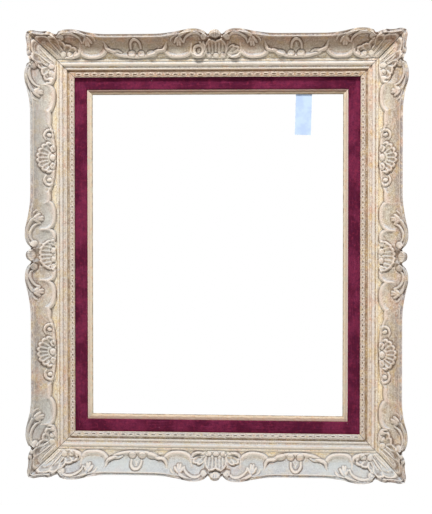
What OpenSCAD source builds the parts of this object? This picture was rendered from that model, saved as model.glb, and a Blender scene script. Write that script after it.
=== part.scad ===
// Carved and painted picture frame with a velvet liner.
// The frame stands upright: X runs to the right, Z runs up, and the front faces -Y.
// The origin is the middle of the frame on the wall plane, which is the back of the four rails.

/* [Picture opening] */
// Width of the opening that shows the picture
sight_w = 394; // [340:2:460]
// Height of the opening that shows the picture
sight_h = 502; // [450:2:560]

/* [Moulding] */
// Width of a rail, from its straight outer edge to its inner edge
rail_w = 66; // [60:1:72]
// Height of the rim above the wall plane
rail_h = 46; // [42:1:52]
// How far the crests swing out past the straight outer edge
crest_rise = 9; // [6:0.5:11]
// Radius of a crest, along its outer edge
crest_r = 43; // [38:1:50]
// How far a crest's rim stands above the straight rim
crest_lift = 1.2; // [0.8:0.1:2]
// How far the outer side leans in at the wall
side_lean = 5; // [3:0.5:8]
// Width of the rebate that holds the liner
rebate_w = 8; // [6:0.5:10]
// Depth of the rebate that holds the liner, from the wall plane
rebate_h = 14; // [12:0.5:16]
// How short each rail is at a mitre, measured along the rail
mitre_gap = 0.2; // [0.1:0.05:0.4]

/* [Carving] */
// Width of a scroll band
band_w = 5.2; // [4.4:0.2:6]
// Radius of a shell's lobes at their tips
lobe_r = 4.8; // [4:0.2:5.6]
// Radius of a shell's flutes at their foot
foot_r = 1.8; // [1.4:0.1:2.4]
// Radius of the beads along the foot of each shell
bead_r = 3.2; // [2.6:0.1:3.8]
// Radius of the volutes at the ends of the crests
volute_r = 5.4; // [4.6:0.2:6.2]
// Radius of the ball in the middle of each rail
ball_r = 8; // [7:0.5:9]
// Radius of the leaf tip at each corner
tip_r = 6.5; // [5.5:0.5:7.5]
// Distance from one inner-edge leaf to the next, at most
leaf_pitch = 14; // [12:0.5:18]
// Length of an inner-edge leaf
leaf_len = 10.4; // [8:0.2:11]
// Width of an inner-edge leaf
leaf_w = 4.2; // [3:0.2:5]
// How far an inner-edge leaf stands proud
leaf_proud = 1.1; // [0.6:0.1:1.6]

/* [Corner keys] */
// Length of a corner key's short sides
key_leg = 34; // [26:1:42]
// Thickness of a corner key
key_t = 3; // [2:0.5:4]
// Height of a corner key above the wall plane
key_h = 9; // [6:0.5:9.5]

/* [Liner] */
// Width of velvet that shows
velvet_show = 19.5; // [16:0.5:24]
// Thickness of the velvet and its backing
velvet_t = 1.2; // [0.8:0.1:2]
// Thickness of the wooden liner core
core_t = 9.3; // [8:0.1:10]
// Clearance between the liner's edge and the rebate wall
liner_clear = 1; // [0.5:0.1:1.5]

/* [Slip] */
// Width of the painted slip round the picture
slip_w = 8; // [6:0.5:10]
// Thickness of the slip at its outer edge
slip_t = 5; // [4:0.1:5.5]
// Thickness of the slip at the picture
slip_edge_t = 1.6; // [1:0.1:2.4]

/* [Hangers] */
// Width of a hanger plate
plate_w = 13; // [11:0.5:15]
// Length of a hanger plate below its knuckle
plate_len = 38; // [34:1:44]
// Thickness of a hanger plate
plate_t = 1; // [0.8:0.1:1.2]
// Radius of the ring's wire
wire_r = 1.25; // [1:0.05:1.4]
// Inner width of the ring
ring_in_w = 17.5; // [17:0.5:22]
// Length of the ring's straight legs
ring_leg = 3; // [2:0.5:5]
// Wall of the knuckle round the wire
knuckle_wall = 1.3; // [1.2:0.05:1.6]
// Radial clearance of the wire in its knuckle
knuckle_fit = 0.05; // [0.03:0.01:0.08]

/* [Turn buttons] */
// Length of a turn button from its pivot to its tip
button_reach = 19; // [17:0.5:22]
// Radius of a turn button round its pivot
button_r = 5.2; // [4.6:0.2:6]
// Radius of a turn button's tip
button_tip_r = 3.6; // [3:0.2:4.4]
// Thickness of a turn button
button_t = 1.2; // [1:0.1:1.4]
// Radial clearance of a turn button on its screw
button_fit = 0.06; // [0.03:0.01:0.09]
// Play of a turn button along its screw, on each face
button_play = 0.1; // [0.05:0.05:0.2]

/* [Clips] */
// Width of a liner clip
clip_w = 12; // [10:0.5:14]
// Thickness of a liner clip
clip_t = 1.2; // [1:0.1:1.4]
// Length of a liner clip's foot on the rail
clip_foot = 15; // [13:0.5:18]
// Length of a liner clip's toe on the liner
clip_toe = 8; // [6:0.5:10]

/* [Screws] */
// Radius of a screw's shank
screw_r = 1.5; // [1.3:0.1:1.6]
// Length of a rail screw's shank in the wood
screw_len = 12; // [10:0.5:14]
// Length of a turn button screw's shank in the liner
pivot_len = 7; // [6:0.1:7.4]
// Radius of a screw's head
head_r = 2.9; // [2.7:0.1:3]
// Thickness of a screw's head
head_t = 1.3; // [1.1:0.1:1.5]
// Radial clearance of a screw in its hole
screw_fit = 0.05; // [0.02:0.01:0.1]

/* [Paper tag] */
// Width of the paper tag
tag_w = 25; // [20:1:32]
// Length of paper tag that hangs into the opening
tag_drop = 63; // [50:1:80]
// Thickness of the paper tag
tag_t = 0.3; // [0.2:0.05:0.4]
// In from the right end of the opening to the middle of the strip
tag_in = 61; // [45:1:90]
// Lean of the paper tag, in degrees
tag_lean = 1.5; // [0:0.5:3]

/* [Hidden] */
$fn = 32;

// Overrun of every cut
over = 2;

// Overall sizes, worked out from the opening outwards
outer_w = sight_w + 2 * (slip_w + velvet_show + rail_w);
outer_h = sight_h + 2 * (slip_w + velvet_show + rail_w);
half_w = outer_w / 2;
half_h = outer_h / 2;

// Turn about Y and reach of each side of the frame, as seen from the front
bottom_turn = 0;
top_turn = 180;
left_turn = 90;
right_turn = -90;

// Section of a rail, as shares of its width and of its height
rim_out_share = [0, 0.93];
rim_in_share = [0.07, 0.952];
rim_bulge_share = 0.057;
cove_end_share = [0.58, 0.478];
cove_hollow_share = 0.109;
fillet_end_share = [0.629, 0.478];
quirk_share = [0.634, 0.452];
torus_start_share = [0.645, 0.467];
torus_end_share = [0.727, 0.446];
torus_bulge_share = 0.048;
gold_quirk_shares = [[0.736, 0.404], [0.777, 0.4]];
ridge_shares = [[0.78, 0.413], [0.823, 0.413]];
ridge_bulge_share = 0.022;
groove_shares = [[0.83, 0.352], [0.876, 0.352]];
leaf_band_shares = [[0.883, 0.41], [0.962, 0.432], [1, 0.4]];

// Places along a half rail, from the corner at 0 to the middle of the rail at 1,
// and how far in each scroll band reaches, as a share of the rail's width
short_band_shares = [
    [0.265, 0.4, 0.568], [0.4, 0.451, 0.417], [0.675, 0.725, 0.44], [0.725, 0.864, 0.56]
];
long_band_shares = [
    [0.227, 0.345, 0.55], [0.345, 0.424, 0.46], [0.695, 0.765, 0.45], [0.765, 0.877, 0.56]
];
band_sweep = 226;
motif_share = 0.556;

// Lobes of the shells, as shares of the rail's width: [along the rail, in from the outer edge]
corner_foot_share = [0.6, 0.6];
corner_lobe_shares = [[0.33, 0.11], [0.52, 0.15], [0.76, 0.2], [0.96, 0.3]];
corner_bead_shares = [[0.62, 0.47], [0.8, 0.5]];
centre_foot_share = [0.4, 0.47];
centre_lobe_shares = [[0.11, 0.17], [0.29, 0.2], [0.44, 0.3]];
centre_bead_share = [0.21, 0.49];
shell_lobe_shares = [[0.17, 0.14], [0.34, 0.16], [0.5, 0.2]];
shell_foot_share = [0.65, 0.45];
shell_bead_shares = [[0.21, 0.47]];
shell_middle_share = [0, 0.13];
small_lobe_shares = [[0.19, 0.26], [0.33, 0.36]];
small_bead_shares = [[0.105, 0.46]];
small_middle_share = [0, 0.2];
middle_bead_share = [0, 0.48];
lobe_sink_share = 0.45;
flute_share = 0.85;
fan_start_share = 0.25;

// Crests and volutes, as shares of the rail's width from the corner or from the middle
corner_crest_share = 0.98;
corner_volute_share = [0.7, 0.09];
centre_crest_share = 0.53;
centre_volute_share = [0.26, 0.09];
volute_level_share = 0.93;
ball_in_share = 0.055;
ball_level_share = 0.9;
tip_in_share = -0.02;
tip_level_share = 0.86;

// Section of a crest behind its rim, as shares of the rail's height
crest_back_share = 0.2;
crest_depth_share = 0.5;
crest_hollow_share = 0.86;

// Liner, slip and hardware levels
wall_t = rail_w - rebate_w;
liner_out_t = wall_t + liner_clear;
liner_in_t = rail_w + velvet_show;
core_top = rebate_h - velvet_t;
core_back = core_top - core_t;
slip_top = core_top;
slip_back = slip_top - slip_t;
key_flush_t = side_lean * (1 - (key_h + key_t) / (rail_h * rim_out_share[1]));
slip_land_share = 0.15;

// Hangers: a knuckle for the wire, on a plate with two screws
hanger_x = half_w - (side_lean + wall_t) / 2;
hanger_up_share = 0.36;
hanger_z = half_h * hanger_up_share;
knuckle_in_r = wire_r + knuckle_fit;
knuckle_r = knuckle_in_r + knuckle_wall;
ring_r = ring_in_w / 2 + wire_r;
first_screw_drop = (ring_leg + ring_r) / 2;
last_screw_drop = plate_len - plate_w / 2;

// Turn buttons pivot on the middle of the liner core
button_t_place = (liner_out_t + liner_in_t) / 2;
button_share = 0.3;
button_top = core_back - button_play - button_t;

// Clips share out each side
clip_share = 0.56;
clip_screw_in = clip_foot / 2;
slot_share = 0.3;
point_share = 0.25;

// Colours of the pieces
paint_colour = "antiquewhite";
wood_colour = "burlywood";
velvet_colour = "maroon";
slip_colour = "linen";
brass_colour = "goldenrod";
steel_colour = "silver";
paper_colour = "aliceblue";

// Points of a circular arc from a to b that bulges to its left by sag
function unit(v) = v / norm(v);
function arc_radius(a, b, sag) = (pow(norm(b - a) / 2, 2) + sag * sag) / (2 * abs(sag));
function arc_centre(a, b, sag) =
    let (along = unit(b - a), left = [-along[1], along[0]], r = arc_radius(a, b, sag))
    (a + b) / 2 + left * (abs(sag) - r) * sign(sag);
function arc_points(a, b, sag, steps) =
    let (c = arc_centre(a, b, sag), r = arc_radius(a, b, sag),
         start = atan2(a[1] - c[1], a[0] - c[0]), stop = atan2(b[1] - c[1], b[0] - c[0]),
         swing = (stop - start + 540) % 360 - 180)
    [for (i = [0 : steps]) c + r * [cos(start + swing * i / steps), sin(start + swing * i / steps)]];

// Turns shares of the rail's section into millimetres
function section_point(share) = [share[0] * rail_w, share[1] * rail_h];
function section_points(shares) = [for (share = shares) section_point(share)];

// Height of the cove's surface at a distance in from the outer edge
cove_a = section_point(rim_in_share);
cove_b = section_point(cove_end_share);
cove_sag = cove_hollow_share * rail_h;
cove_c = arc_centre(cove_a, cove_b, -cove_sag);
cove_r = arc_radius(cove_a, cove_b, -cove_sag);
function cove_level(t) = cove_c[1] - sqrt(pow(cove_r, 2) - pow(min(t, cove_b[0]) - cove_c[0], 2));

// Section of a rail in the plane of [distance in, height]
rim_sag = rim_bulge_share * rail_h;
rim_points = arc_points(section_point(rim_out_share), cove_a, rim_sag, 4);
rail_section = concat(
    [[side_lean, 0]],
    rim_points,
    arc_points(cove_a, cove_b, -cove_sag, 7),
    [section_point(fillet_end_share), section_point(quirk_share)],
    arc_points(section_point(torus_start_share), section_point(torus_end_share),
               torus_bulge_share * rail_h, 5),
    section_points(gold_quirk_shares),
    arc_points(section_point(ridge_shares[0]), section_point(ridge_shares[1]), ridge_bulge_share * rail_h, 3),
    section_points(groove_shares),
    section_points(leaf_band_shares),
    [[rail_w, rebate_h], [wall_t, rebate_h], [wall_t, 0]]
);

// Places a side's own frame: x along the side, y in from the outer edge, z out from the wall
module on_side(turn, reach) {
    rotate([0, turn, 0]) translate([0, 0, -reach]) rotate([90, 0, 0]) children();
}

// A straight length with the given section, cut to its mitres
module mitred(section, half_len, from_t, to_t, gap) {
    intersection() {
        translate([-half_len - over, 0, 0]) rotate([90, 0, 90])
            linear_extrude(2 * (half_len + over)) polygon(section);
        mitre_prism(half_len, from_t, to_t, gap);
    }
}

module mitre_prism(half_len, from_t, to_t, gap) {
    near = half_len - from_t - gap;
    far = half_len - to_t - gap;
    translate([0, 0, -over]) linear_extrude(rail_h + crest_lift + 2 * over)
        polygon([[-near, from_t], [near, from_t], [far, to_t], [-far, to_t]]);
}

// A tapered flute between two points
module flute(foot, tip, foot_radius, tip_radius) {
    run = tip - foot;
    translate(foot)
        rotate([0, acos(run[2] / norm(run)), atan2(run[1], run[0])])
            cylinder(h = norm(run), r1 = foot_radius, r2 = tip_radius);
}

// One lobe of a shell: a flute that rises from its foot to a round tip on the cove
module lobe(foot_at, tip_at) {
    foot = [foot_at[0], foot_at[1], cove_level(foot_at[1]) - foot_r * lobe_sink_share];
    tip = [tip_at[0], tip_at[1], cove_level(tip_at[1]) - lobe_r * lobe_sink_share];
    flute(foot, tip, foot_r, lobe_r * flute_share);
    translate(tip) sphere(r = lobe_r);
}

// Lobes that spread from one point, each starting a little way out from it
module fan(middle, tips) {
    for (tip = tips)
        lobe(middle + (tip - middle) * fan_start_share, tip);
    bead(middle);
}

module bead(at) {
    translate([at[0], at[1], cove_level(at[1])]) sphere(r = bead_r);
}

// A scroll band between two cusps, lying on the cove
module scroll_band(from_x, to_x, reach_t) {
    ring = abs(to_x - from_x) / 2 + band_w / 4;
    lean = atan2(cove_level(cove_b[0] / 2) - cove_b[1], cove_b[0] / 2);
    bottom = cove_level(reach_t) + band_w / 3;
    translate([(from_x + to_x) / 2, reach_t - ring * cos(lean), bottom + ring * sin(lean)])
        rotate([-lean, 0, 0]) rotate([0, 0, 90 - band_sweep / 2])
            rotate_extrude(angle = band_sweep) translate([ring - band_w / 2, 0]) band_section();
}

module band_section() {
    circle(d = band_w);
    translate([-band_w / 2, -2 * band_w]) square([band_w, 2 * band_w]);
}

// A crest: the rim swung outwards on an arc, with the wood behind it
module crest(at_x) {
    middle_t = crest_r - crest_rise;
    swing = acos(middle_t / crest_r);
    translate([at_x, middle_t, crest_lift]) rotate([0, 0, 270 - swing])
        rotate_extrude(angle = 2 * swing, $fn = 96) crest_section();
}

module crest_section() {
    back = crest_back_share * rail_w;
    translate([crest_r, 0]) mirror([1, 0]) polygon(concat(
        [[back, rail_h * crest_depth_share]],
        arc_points(section_point(rim_out_share), cove_a, rim_sag, 3),
        [[back, rail_h * crest_hollow_share - crest_lift]]
    ));
}

// The corner's half of its shell, with the crest and volute beside it
module corner_carving(half_len) {
    fan([half_len - rail_w * corner_foot_share[0], rail_w * corner_foot_share[1]],
        [for (share = corner_lobe_shares) [half_len - rail_w * share[0], rail_w * share[1]]]);
    for (share = corner_bead_shares)
        bead([half_len - rail_w * share[0], rail_w * share[1]]);
    translate([half_len - rail_w * tip_in_share, rail_w * tip_in_share, rail_h * tip_level_share])
        sphere(r = tip_r);
    translate([half_len - rail_w * corner_volute_share[0], rail_w * corner_volute_share[1],
               rail_h * volute_level_share])
        sphere(r = volute_r);
    crest(half_len - rail_w * corner_crest_share);
}

// Half of the cartouche in the middle of a rail
module centre_carving() {
    for (share = centre_lobe_shares)
        lobe(rail_w * [share[0] * centre_foot_share[0], centre_foot_share[1]], rail_w * share);
    bead(rail_w * centre_bead_share);
    translate([rail_w * centre_volute_share[0], rail_w * centre_volute_share[1], rail_h * volute_level_share])
        sphere(r = volute_r);
    crest(rail_w * centre_crest_share);
}

// Half of a shell motif between two scroll bands
module shell_half(lobe_shares, bead_shares) {
    for (share = lobe_shares)
        shell_lobe(share);
    for (share = bead_shares)
        bead(rail_w * share);
}

module shell_lobe(share) {
    lobe(rail_w * [share[0] * shell_foot_share[0], shell_foot_share[1]], rail_w * share);
}

module both_ways() {
    children();
    mirror([1, 0, 0]) children();
}

// Row of leaves along the inner edge
module inner_leaves(half_len) {
    run = half_len - rail_w;
    count = ceil(2 * run / leaf_pitch);
    step = 2 * run / count;
    middle_t = rail_w * (leaf_band_shares[0][0] + leaf_band_shares[1][0]) / 2;
    level = rail_h * leaf_band_shares[0][1];
    translate([0, middle_t, level - leaf_proud]) linear_extrude(3 * leaf_proud)
        for (i = [0 : count - 1])
            translate([(i + 0.5 - count / 2) * step, 0]) leaf_outline();
}

module leaf_outline() {
    tip = leaf_len / 2;
    side = leaf_w / 2;
    polygon([[-tip, 0], [-tip / 2, -side], [tip / 2, -side], [tip, 0], [tip / 2, side], [-tip / 2, side]]);
}

// A whole carved rail in its side's own frame
module carved_rail(half_len, band_shares, lobe_shares, bead_shares, middle_share) {
    difference() {
        intersection() {
            union() {
                translate([-half_len - over, 0, 0]) rotate([90, 0, 90])
                    linear_extrude(2 * (half_len + over)) polygon(rail_section);
                both_ways() {
                    corner_carving(half_len);
                    centre_carving();
                    translate([half_len * (1 - motif_share), 0, 0]) {
                        both_ways() shell_half(lobe_shares, bead_shares);
                        shell_lobe(middle_share);
                    }
                    for (share = band_shares)
                        scroll_band(half_len * (1 - share[0]), half_len * (1 - share[1]), rail_w * share[2]);
                }
                translate([0, rail_w * ball_in_share, rail_h * ball_level_share]) sphere(r = ball_r);
                bead(rail_w * middle_bead_share);
                inner_leaves(half_len);
            }
            mitre_prism(half_len, -crest_rise - over, rail_w + over, mitre_gap);
        }
        both_ways() key_slot(half_len);
        both_ways() clip_hole(half_len);
    }
}

// Slot for a corner key at one end of a rail
module key_slot(half_len) {
    reach = key_leg + 2 * key_flush_t;
    outside = crest_rise + over;
    translate([half_len, 0, key_h]) linear_extrude(key_t)
        polygon([[outside, -outside], [-reach - outside, -outside], [outside, reach + outside]]);
}

module clip_hole(half_len) {
    translate([half_len * clip_share, wall_t - clip_screw_in, -over])
        cylinder(h = screw_len + over + screw_r, r = screw_r + screw_fit);
}

module hanger_holes() {
    for (side = [-1, 1])
        for (drop = [first_screw_drop, last_screw_drop])
            translate([side * hanger_x, over, hanger_z - drop]) rotate([90, 0, 0])
                cylinder(h = screw_len + over + screw_r, r = screw_r + screw_fit);
}

module long_rail(turn) {
    color(paint_colour) difference() {
        on_side(turn, half_w)
            carved_rail(half_h, long_band_shares, shell_lobe_shares, shell_bead_shares, shell_middle_share);
        hanger_holes();
    }
}

module short_rail(turn) {
    color(paint_colour) on_side(turn, half_h)
        carved_rail(half_w, short_band_shares, small_lobe_shares, small_bead_shares, small_middle_share);
}

module top_rail() { short_rail(top_turn); }
module bottom_rail() { short_rail(bottom_turn); }
module left_rail() { long_rail(left_turn); }
module right_rail() { long_rail(right_turn); }

// A key let into the two rails of a corner, flush with their outer sides
module corner_key(x_side, z_side) {
    leg = key_leg - screw_fit;
    color(wood_colour)
        translate([x_side * (half_w - key_flush_t), -key_h, z_side * (half_h - key_flush_t)])
            rotate([90, 0, 0]) linear_extrude(key_t)
                polygon([[0, 0], [-x_side * leg, 0], [0, -z_side * leg]]);
}

module top_left_key() { corner_key(-1, 1); }
module top_right_key() { corner_key(1, 1); }
module bottom_left_key() { corner_key(-1, -1); }
module bottom_right_key() { corner_key(1, -1); }

// Wooden core of one side of the liner, with the screw holes of its turn buttons
module liner_core(turn, reach, half_len, button_places) {
    section = [[liner_out_t, core_back], [liner_out_t, core_top],
               [liner_in_t, core_top], [liner_in_t, core_back]];
    color(wood_colour) on_side(turn, reach) difference() {
        mitred(section, half_len, liner_out_t, liner_in_t, 0);
        for (x = button_places)
            translate([x, button_t_place, core_back - over])
                cylinder(h = pivot_len + over + screw_r / 3, r = screw_r + screw_fit);
    }
}

short_button_places = [0];
long_button_places = [-half_h * button_share, half_h * button_share];

module top_liner() { liner_core(top_turn, half_h, half_w, short_button_places); }
module bottom_liner() { liner_core(bottom_turn, half_h, half_w, short_button_places); }
module left_liner() { liner_core(left_turn, half_w, half_h, long_button_places); }
module right_liner() { liner_core(right_turn, half_w, half_h, long_button_places); }

// Velvet over the face of one side of the liner
module velvet(turn, reach, half_len) {
    section = [[liner_out_t, core_top], [liner_out_t, rebate_h], [liner_in_t - velvet_t, rebate_h],
               [liner_in_t, rebate_h - velvet_t / 2], [liner_in_t, core_top]];
    color(velvet_colour) on_side(turn, reach) mitred(section, half_len, liner_out_t, liner_in_t, 0);
}

module top_velvet() { velvet(top_turn, half_h, half_w); }
module bottom_velvet() { velvet(bottom_turn, half_h, half_w); }
module left_velvet() { velvet(left_turn, half_w, half_h); }
module right_velvet() { velvet(right_turn, half_w, half_h); }

// Painted slip along the picture, bevelled down to it
module slip(turn, reach, half_len) {
    sight_t = liner_in_t + slip_w;
    land_t = liner_in_t + slip_w * slip_land_share;
    section = [[liner_in_t, slip_back], [liner_in_t, slip_top], [land_t, slip_top],
               [sight_t, slip_back + slip_edge_t], [sight_t, slip_back]];
    color(slip_colour) on_side(turn, reach) mitred(section, half_len, liner_in_t, sight_t, 0);
}

module top_slip() { slip(top_turn, half_h, half_w); }
module bottom_slip() { slip(bottom_turn, half_h, half_w); }
module left_slip() { slip(left_turn, half_w, half_h); }
module right_slip() { slip(right_turn, half_w, half_h); }

// Repeats its children at the two clips of each side
module at_clips() {
    for (side = [[top_turn, half_h, half_w], [bottom_turn, half_h, half_w],
                 [left_turn, half_w, half_h], [right_turn, half_w, half_h]])
        for (end = [-1, 1])
            on_side(side[0], side[1]) translate([end * side[2] * clip_share, 0, 0]) children();
}

// Stepped clips that hold the liner in its rebate
module liner_clips() {
    step_t = wall_t + liner_clear / 2;
    section = [[wall_t - clip_foot, 0], [step_t, 0], [step_t, core_back], [step_t + clip_toe, core_back],
               [step_t + clip_toe, core_back - clip_t], [step_t + clip_t, core_back - clip_t],
               [step_t + clip_t, -clip_t], [wall_t - clip_foot, -clip_t]];
    color(steel_colour) at_clips() difference() {
        translate([-clip_w / 2, 0, 0]) rotate([90, 0, 90]) linear_extrude(clip_w) polygon(section);
        translate([0, wall_t - clip_screw_in, -clip_t - over])
            cylinder(h = clip_t + 2 * over, r = screw_r + screw_fit);
    }
}

// A round-headed wood screw that points along +z, with its head's underside at z = 0
module wood_screw(len) {
    point = screw_r / point_share / 2;
    difference() {
        union() {
            cylinder(h = len - point, r = screw_r);
            translate([0, 0, len - point]) cylinder(h = point, r1 = screw_r, r2 = screw_r * point_share);
            translate([0, 0, -head_t / 2]) cylinder(h = head_t / 2, r = head_r);
            translate([0, 0, -head_t]) cylinder(h = head_t / 2, r1 = head_r * (1 - point_share), r2 = head_r);
        }
        translate([-head_r - over, -head_t * slot_share, -head_t - over])
            cube([2 * (head_r + over), 2 * head_t * slot_share, over + head_t / 2]);
    }
}

module clip_screws() {
    color(steel_colour) at_clips()
        translate([0, wall_t - clip_screw_in, -clip_t]) wood_screw(screw_len + clip_t);
}

// Plate with a rolled knuckle at its top
module hanger_plate(side) {
    color(brass_colour) translate([side * hanger_x, 0, hanger_z]) difference() {
        union() {
            translate([-plate_w / 2, 0, plate_w / 2 - plate_len])
                cube([plate_w, plate_t, plate_len - plate_w / 2 - knuckle_r / 2]);
            translate([0, plate_t, plate_w / 2 - plate_len]) rotate([90, 0, 0])
                cylinder(h = plate_t, d = plate_w);
            translate([-plate_w / 2, knuckle_r, 0]) rotate([0, 90, 0]) cylinder(h = plate_w, r = knuckle_r);
            translate([-plate_w / 2, 0, -knuckle_r]) cube([plate_w, plate_t, knuckle_r]);
        }
        translate([-plate_w, knuckle_r, 0]) rotate([0, 90, 0]) cylinder(h = 2 * plate_w, r = knuckle_in_r);
        for (drop = [first_screw_drop, last_screw_drop])
            translate([0, plate_t + over, -drop]) rotate([90, 0, 0])
                cylinder(h = plate_t + 2 * over, r = screw_r + screw_fit);
    }
}

module left_hanger_plate() { hanger_plate(-1); }
module right_hanger_plate() { hanger_plate(1); }

module hanger_screws() {
    color(brass_colour)
        for (side = [-1, 1])
            for (drop = [first_screw_drop, last_screw_drop])
                translate([side * hanger_x, plate_t, hanger_z - drop]) rotate([90, 0, 0])
                    wood_screw(screw_len + plate_t);
}

// D-shaped wire ring, hanging from its knuckle
module hanger_ring(side) {
    color(brass_colour) translate([side * hanger_x, knuckle_r, hanger_z]) {
        translate([-ring_r, 0, 0]) rotate([0, 90, 0]) cylinder(h = 2 * ring_r, r = wire_r);
        for (x = [-ring_r, ring_r]) {
            translate([x, 0, 0]) sphere(r = wire_r);
            translate([x, 0, -ring_leg]) cylinder(h = ring_leg, r = wire_r);
        }
        translate([0, 0, -ring_leg]) rotate([90, 0, 0]) rotate([0, 0, 180])
            rotate_extrude(angle = 180) translate([ring_r, 0]) circle(r = wire_r);
    }
}

module left_hanger_ring() { hanger_ring(-1); }
module right_hanger_ring() { hanger_ring(1); }

// Flat button that points along its side, one way or, flipped, the other
module turn_button(turn, reach, x, flip) {
    tip_x = button_reach - button_tip_r;
    color(brass_colour) on_side(turn, reach)
        translate([x, button_t_place, button_top]) rotate([0, 0, flip])
            linear_extrude(button_t) difference() {
                union() {
                    circle(r = button_r);
                    translate([tip_x, 0]) circle(r = button_tip_r);
                    polygon([[0, -button_r], [tip_x, -button_tip_r], [tip_x, button_tip_r], [0, button_r]]);
                }
                circle(r = screw_r + button_fit);
            }
}

module top_button() { turn_button(top_turn, half_h, 0, 0); }
module bottom_button() { turn_button(bottom_turn, half_h, 0, 0); }
module left_upper_button() { turn_button(left_turn, half_w, -half_h * button_share, 0); }
module left_lower_button() { turn_button(left_turn, half_w, half_h * button_share, 0); }
module right_upper_button() { turn_button(right_turn, half_w, half_h * button_share, 180); }
module right_lower_button() { turn_button(right_turn, half_w, -half_h * button_share, 180); }

module button_screws() {
    color(brass_colour) {
        for (turn = [top_turn, bottom_turn])
            for (x = short_button_places)
                on_side(turn, half_h) pivot_screw(x);
        for (turn = [left_turn, right_turn])
            for (x = long_button_places)
                on_side(turn, half_w) pivot_screw(x);
    }
}

module pivot_screw(x) {
    translate([x, button_t_place, button_top - button_play])
        wood_screw(pivot_len + button_t + 2 * button_play);
}

// Strip of paper that hangs from the back of the top slip into the opening
module paper_tag() {
    held = slip_w * 3 / 4;
    tag_len = tag_drop + held;
    color(paper_colour) translate([sight_w / 2 - tag_in, -slip_back + tag_t, sight_h / 2 + held])
        rotate([90, 0, 0]) rotate([0, 0, -tag_lean])
            translate([-tag_w / 2, -tag_len, 0]) linear_extrude(tag_t) square([tag_w, tag_len]);
}

top_rail();
bottom_rail();
left_rail();
right_rail();
top_left_key();
top_right_key();
bottom_left_key();
bottom_right_key();
top_liner();
bottom_liner();
left_liner();
right_liner();
top_velvet();
bottom_velvet();
left_velvet();
right_velvet();
top_slip();
bottom_slip();
left_slip();
right_slip();
liner_clips();
clip_screws();
left_hanger_plate();
right_hanger_plate();
hanger_screws();
left_hanger_ring();
right_hanger_ring();
top_button();
bottom_button();
left_upper_button();
left_lower_button();
right_upper_button();
right_lower_button();
button_screws();
paper_tag();
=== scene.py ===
# %% [markdown]
# # A carved and whitewashed picture frame
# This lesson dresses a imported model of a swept, carved frame: four mitred rails, a velvet-covered liner, a
# painted slip, the hardware on the back and a strip of paper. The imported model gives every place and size,
# and here each visible piece gets its carved, cut or woven form and its finish.

import math

import bmesh
import bpy
import numpy as np
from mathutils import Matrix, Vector


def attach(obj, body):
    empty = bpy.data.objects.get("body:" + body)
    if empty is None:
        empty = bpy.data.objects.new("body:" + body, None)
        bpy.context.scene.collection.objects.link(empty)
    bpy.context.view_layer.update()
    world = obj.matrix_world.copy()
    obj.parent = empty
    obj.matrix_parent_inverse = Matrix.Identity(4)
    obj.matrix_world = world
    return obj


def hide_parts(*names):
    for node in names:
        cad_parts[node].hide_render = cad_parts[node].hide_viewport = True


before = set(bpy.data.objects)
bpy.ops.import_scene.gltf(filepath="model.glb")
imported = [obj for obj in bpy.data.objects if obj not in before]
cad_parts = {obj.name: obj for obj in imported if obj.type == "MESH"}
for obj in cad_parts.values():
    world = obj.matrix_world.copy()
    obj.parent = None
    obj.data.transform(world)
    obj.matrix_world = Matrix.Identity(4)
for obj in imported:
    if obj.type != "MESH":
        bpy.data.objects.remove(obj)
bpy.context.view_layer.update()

# %% [markdown]
# ## Sizes
# All of the carving is worked out in millimetres, as a carver would, in the frame of one side: s runs along
# the rail from its middle, t runs inwards from the straight outer edge, and h stands out from the wall. The
# mitre plane is where s reaches the half length less t, so a point's distance from the corner is half
# length less |s|.

# %% Sizes of the frame in millimetres
MM = 0.001
HALF_W, HALF_H = 290.5, 344.5
RAIL_W = 66.0
REBATE_T, REBATE_H = 58.0, 14.0
SIDE_LEAN = 5.0
MITRE_GAP = 0.16
CREST_OUT = 8.9
HIGHEST = 47.1

SIDES = {  # how far the side's outer edge is from the middle, its half length, the ways that s and t run
    "top": (HALF_H, HALF_W, (-1, 0, 0), (0, 0, -1)),
    "bottom": (HALF_H, HALF_W, (1, 0, 0), (0, 0, 1)),
    "left": (HALF_W, HALF_H, (0, 0, -1), (1, 0, 0)),
    "right": (HALF_W, HALF_H, (0, 0, 1), (-1, 0, 0)),
}


def on_side(side, s, t, h):
    """World points in metres of a side's own s, t and h in millimetres."""
    reach, _, s_way, t_way = SIDES[side]
    s_way, t_way, h_way = np.array(s_way), np.array(t_way), np.array((0, -1, 0))
    s, t, h = (np.asarray(v, float)[..., None] for v in (s, t, h))
    return (s * s_way + (t - reach) * t_way + h * h_way) * MM


def smooth(value, start, end):
    """0 before start, 1 after end, and a soft step between them."""
    share = np.clip((value - start) / (end - start), 0, 1)
    return share * share * (3 - 2 * share)


print("corner of the opening:", on_side("left", HALF_H - 93.5, 93.5, 9.4))

# %% [markdown]
# ## The camera
# The photograph is taken from straight in front, a little to the right and a little above, from far enough
# away that the frame's sides stay hidden. A long lens at the same place gives the same outline.

# %% Camera
CAMERA_PLACE, CAMERA_AIM = (0.3804, -3.4764, 0.1418), (-0.0006, -0.02, -0.0025)
LENS, SENSOR_WIDTH = 155.98, 36


def aimed(name, data, place, at=(0, 0, 0)):
    """A camera or a lamp at a place, turned towards a point."""
    thing = bpy.data.objects.new(name, data)
    bpy.context.collection.objects.link(thing)
    thing.location = place
    thing.rotation_mode = "QUATERNION"
    thing.rotation_quaternion = (Vector(at) - thing.location).to_track_quat("-Z", "Y")
    return thing


camera_data = bpy.data.cameras.new("camera")
camera_data.sensor_width = SENSOR_WIDTH
camera_data.lens = LENS
camera = aimed("camera", camera_data, CAMERA_PLACE, CAMERA_AIM)
bpy.context.scene.camera = camera
print("camera is", round(camera.location.length, 2), "m away")

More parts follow.
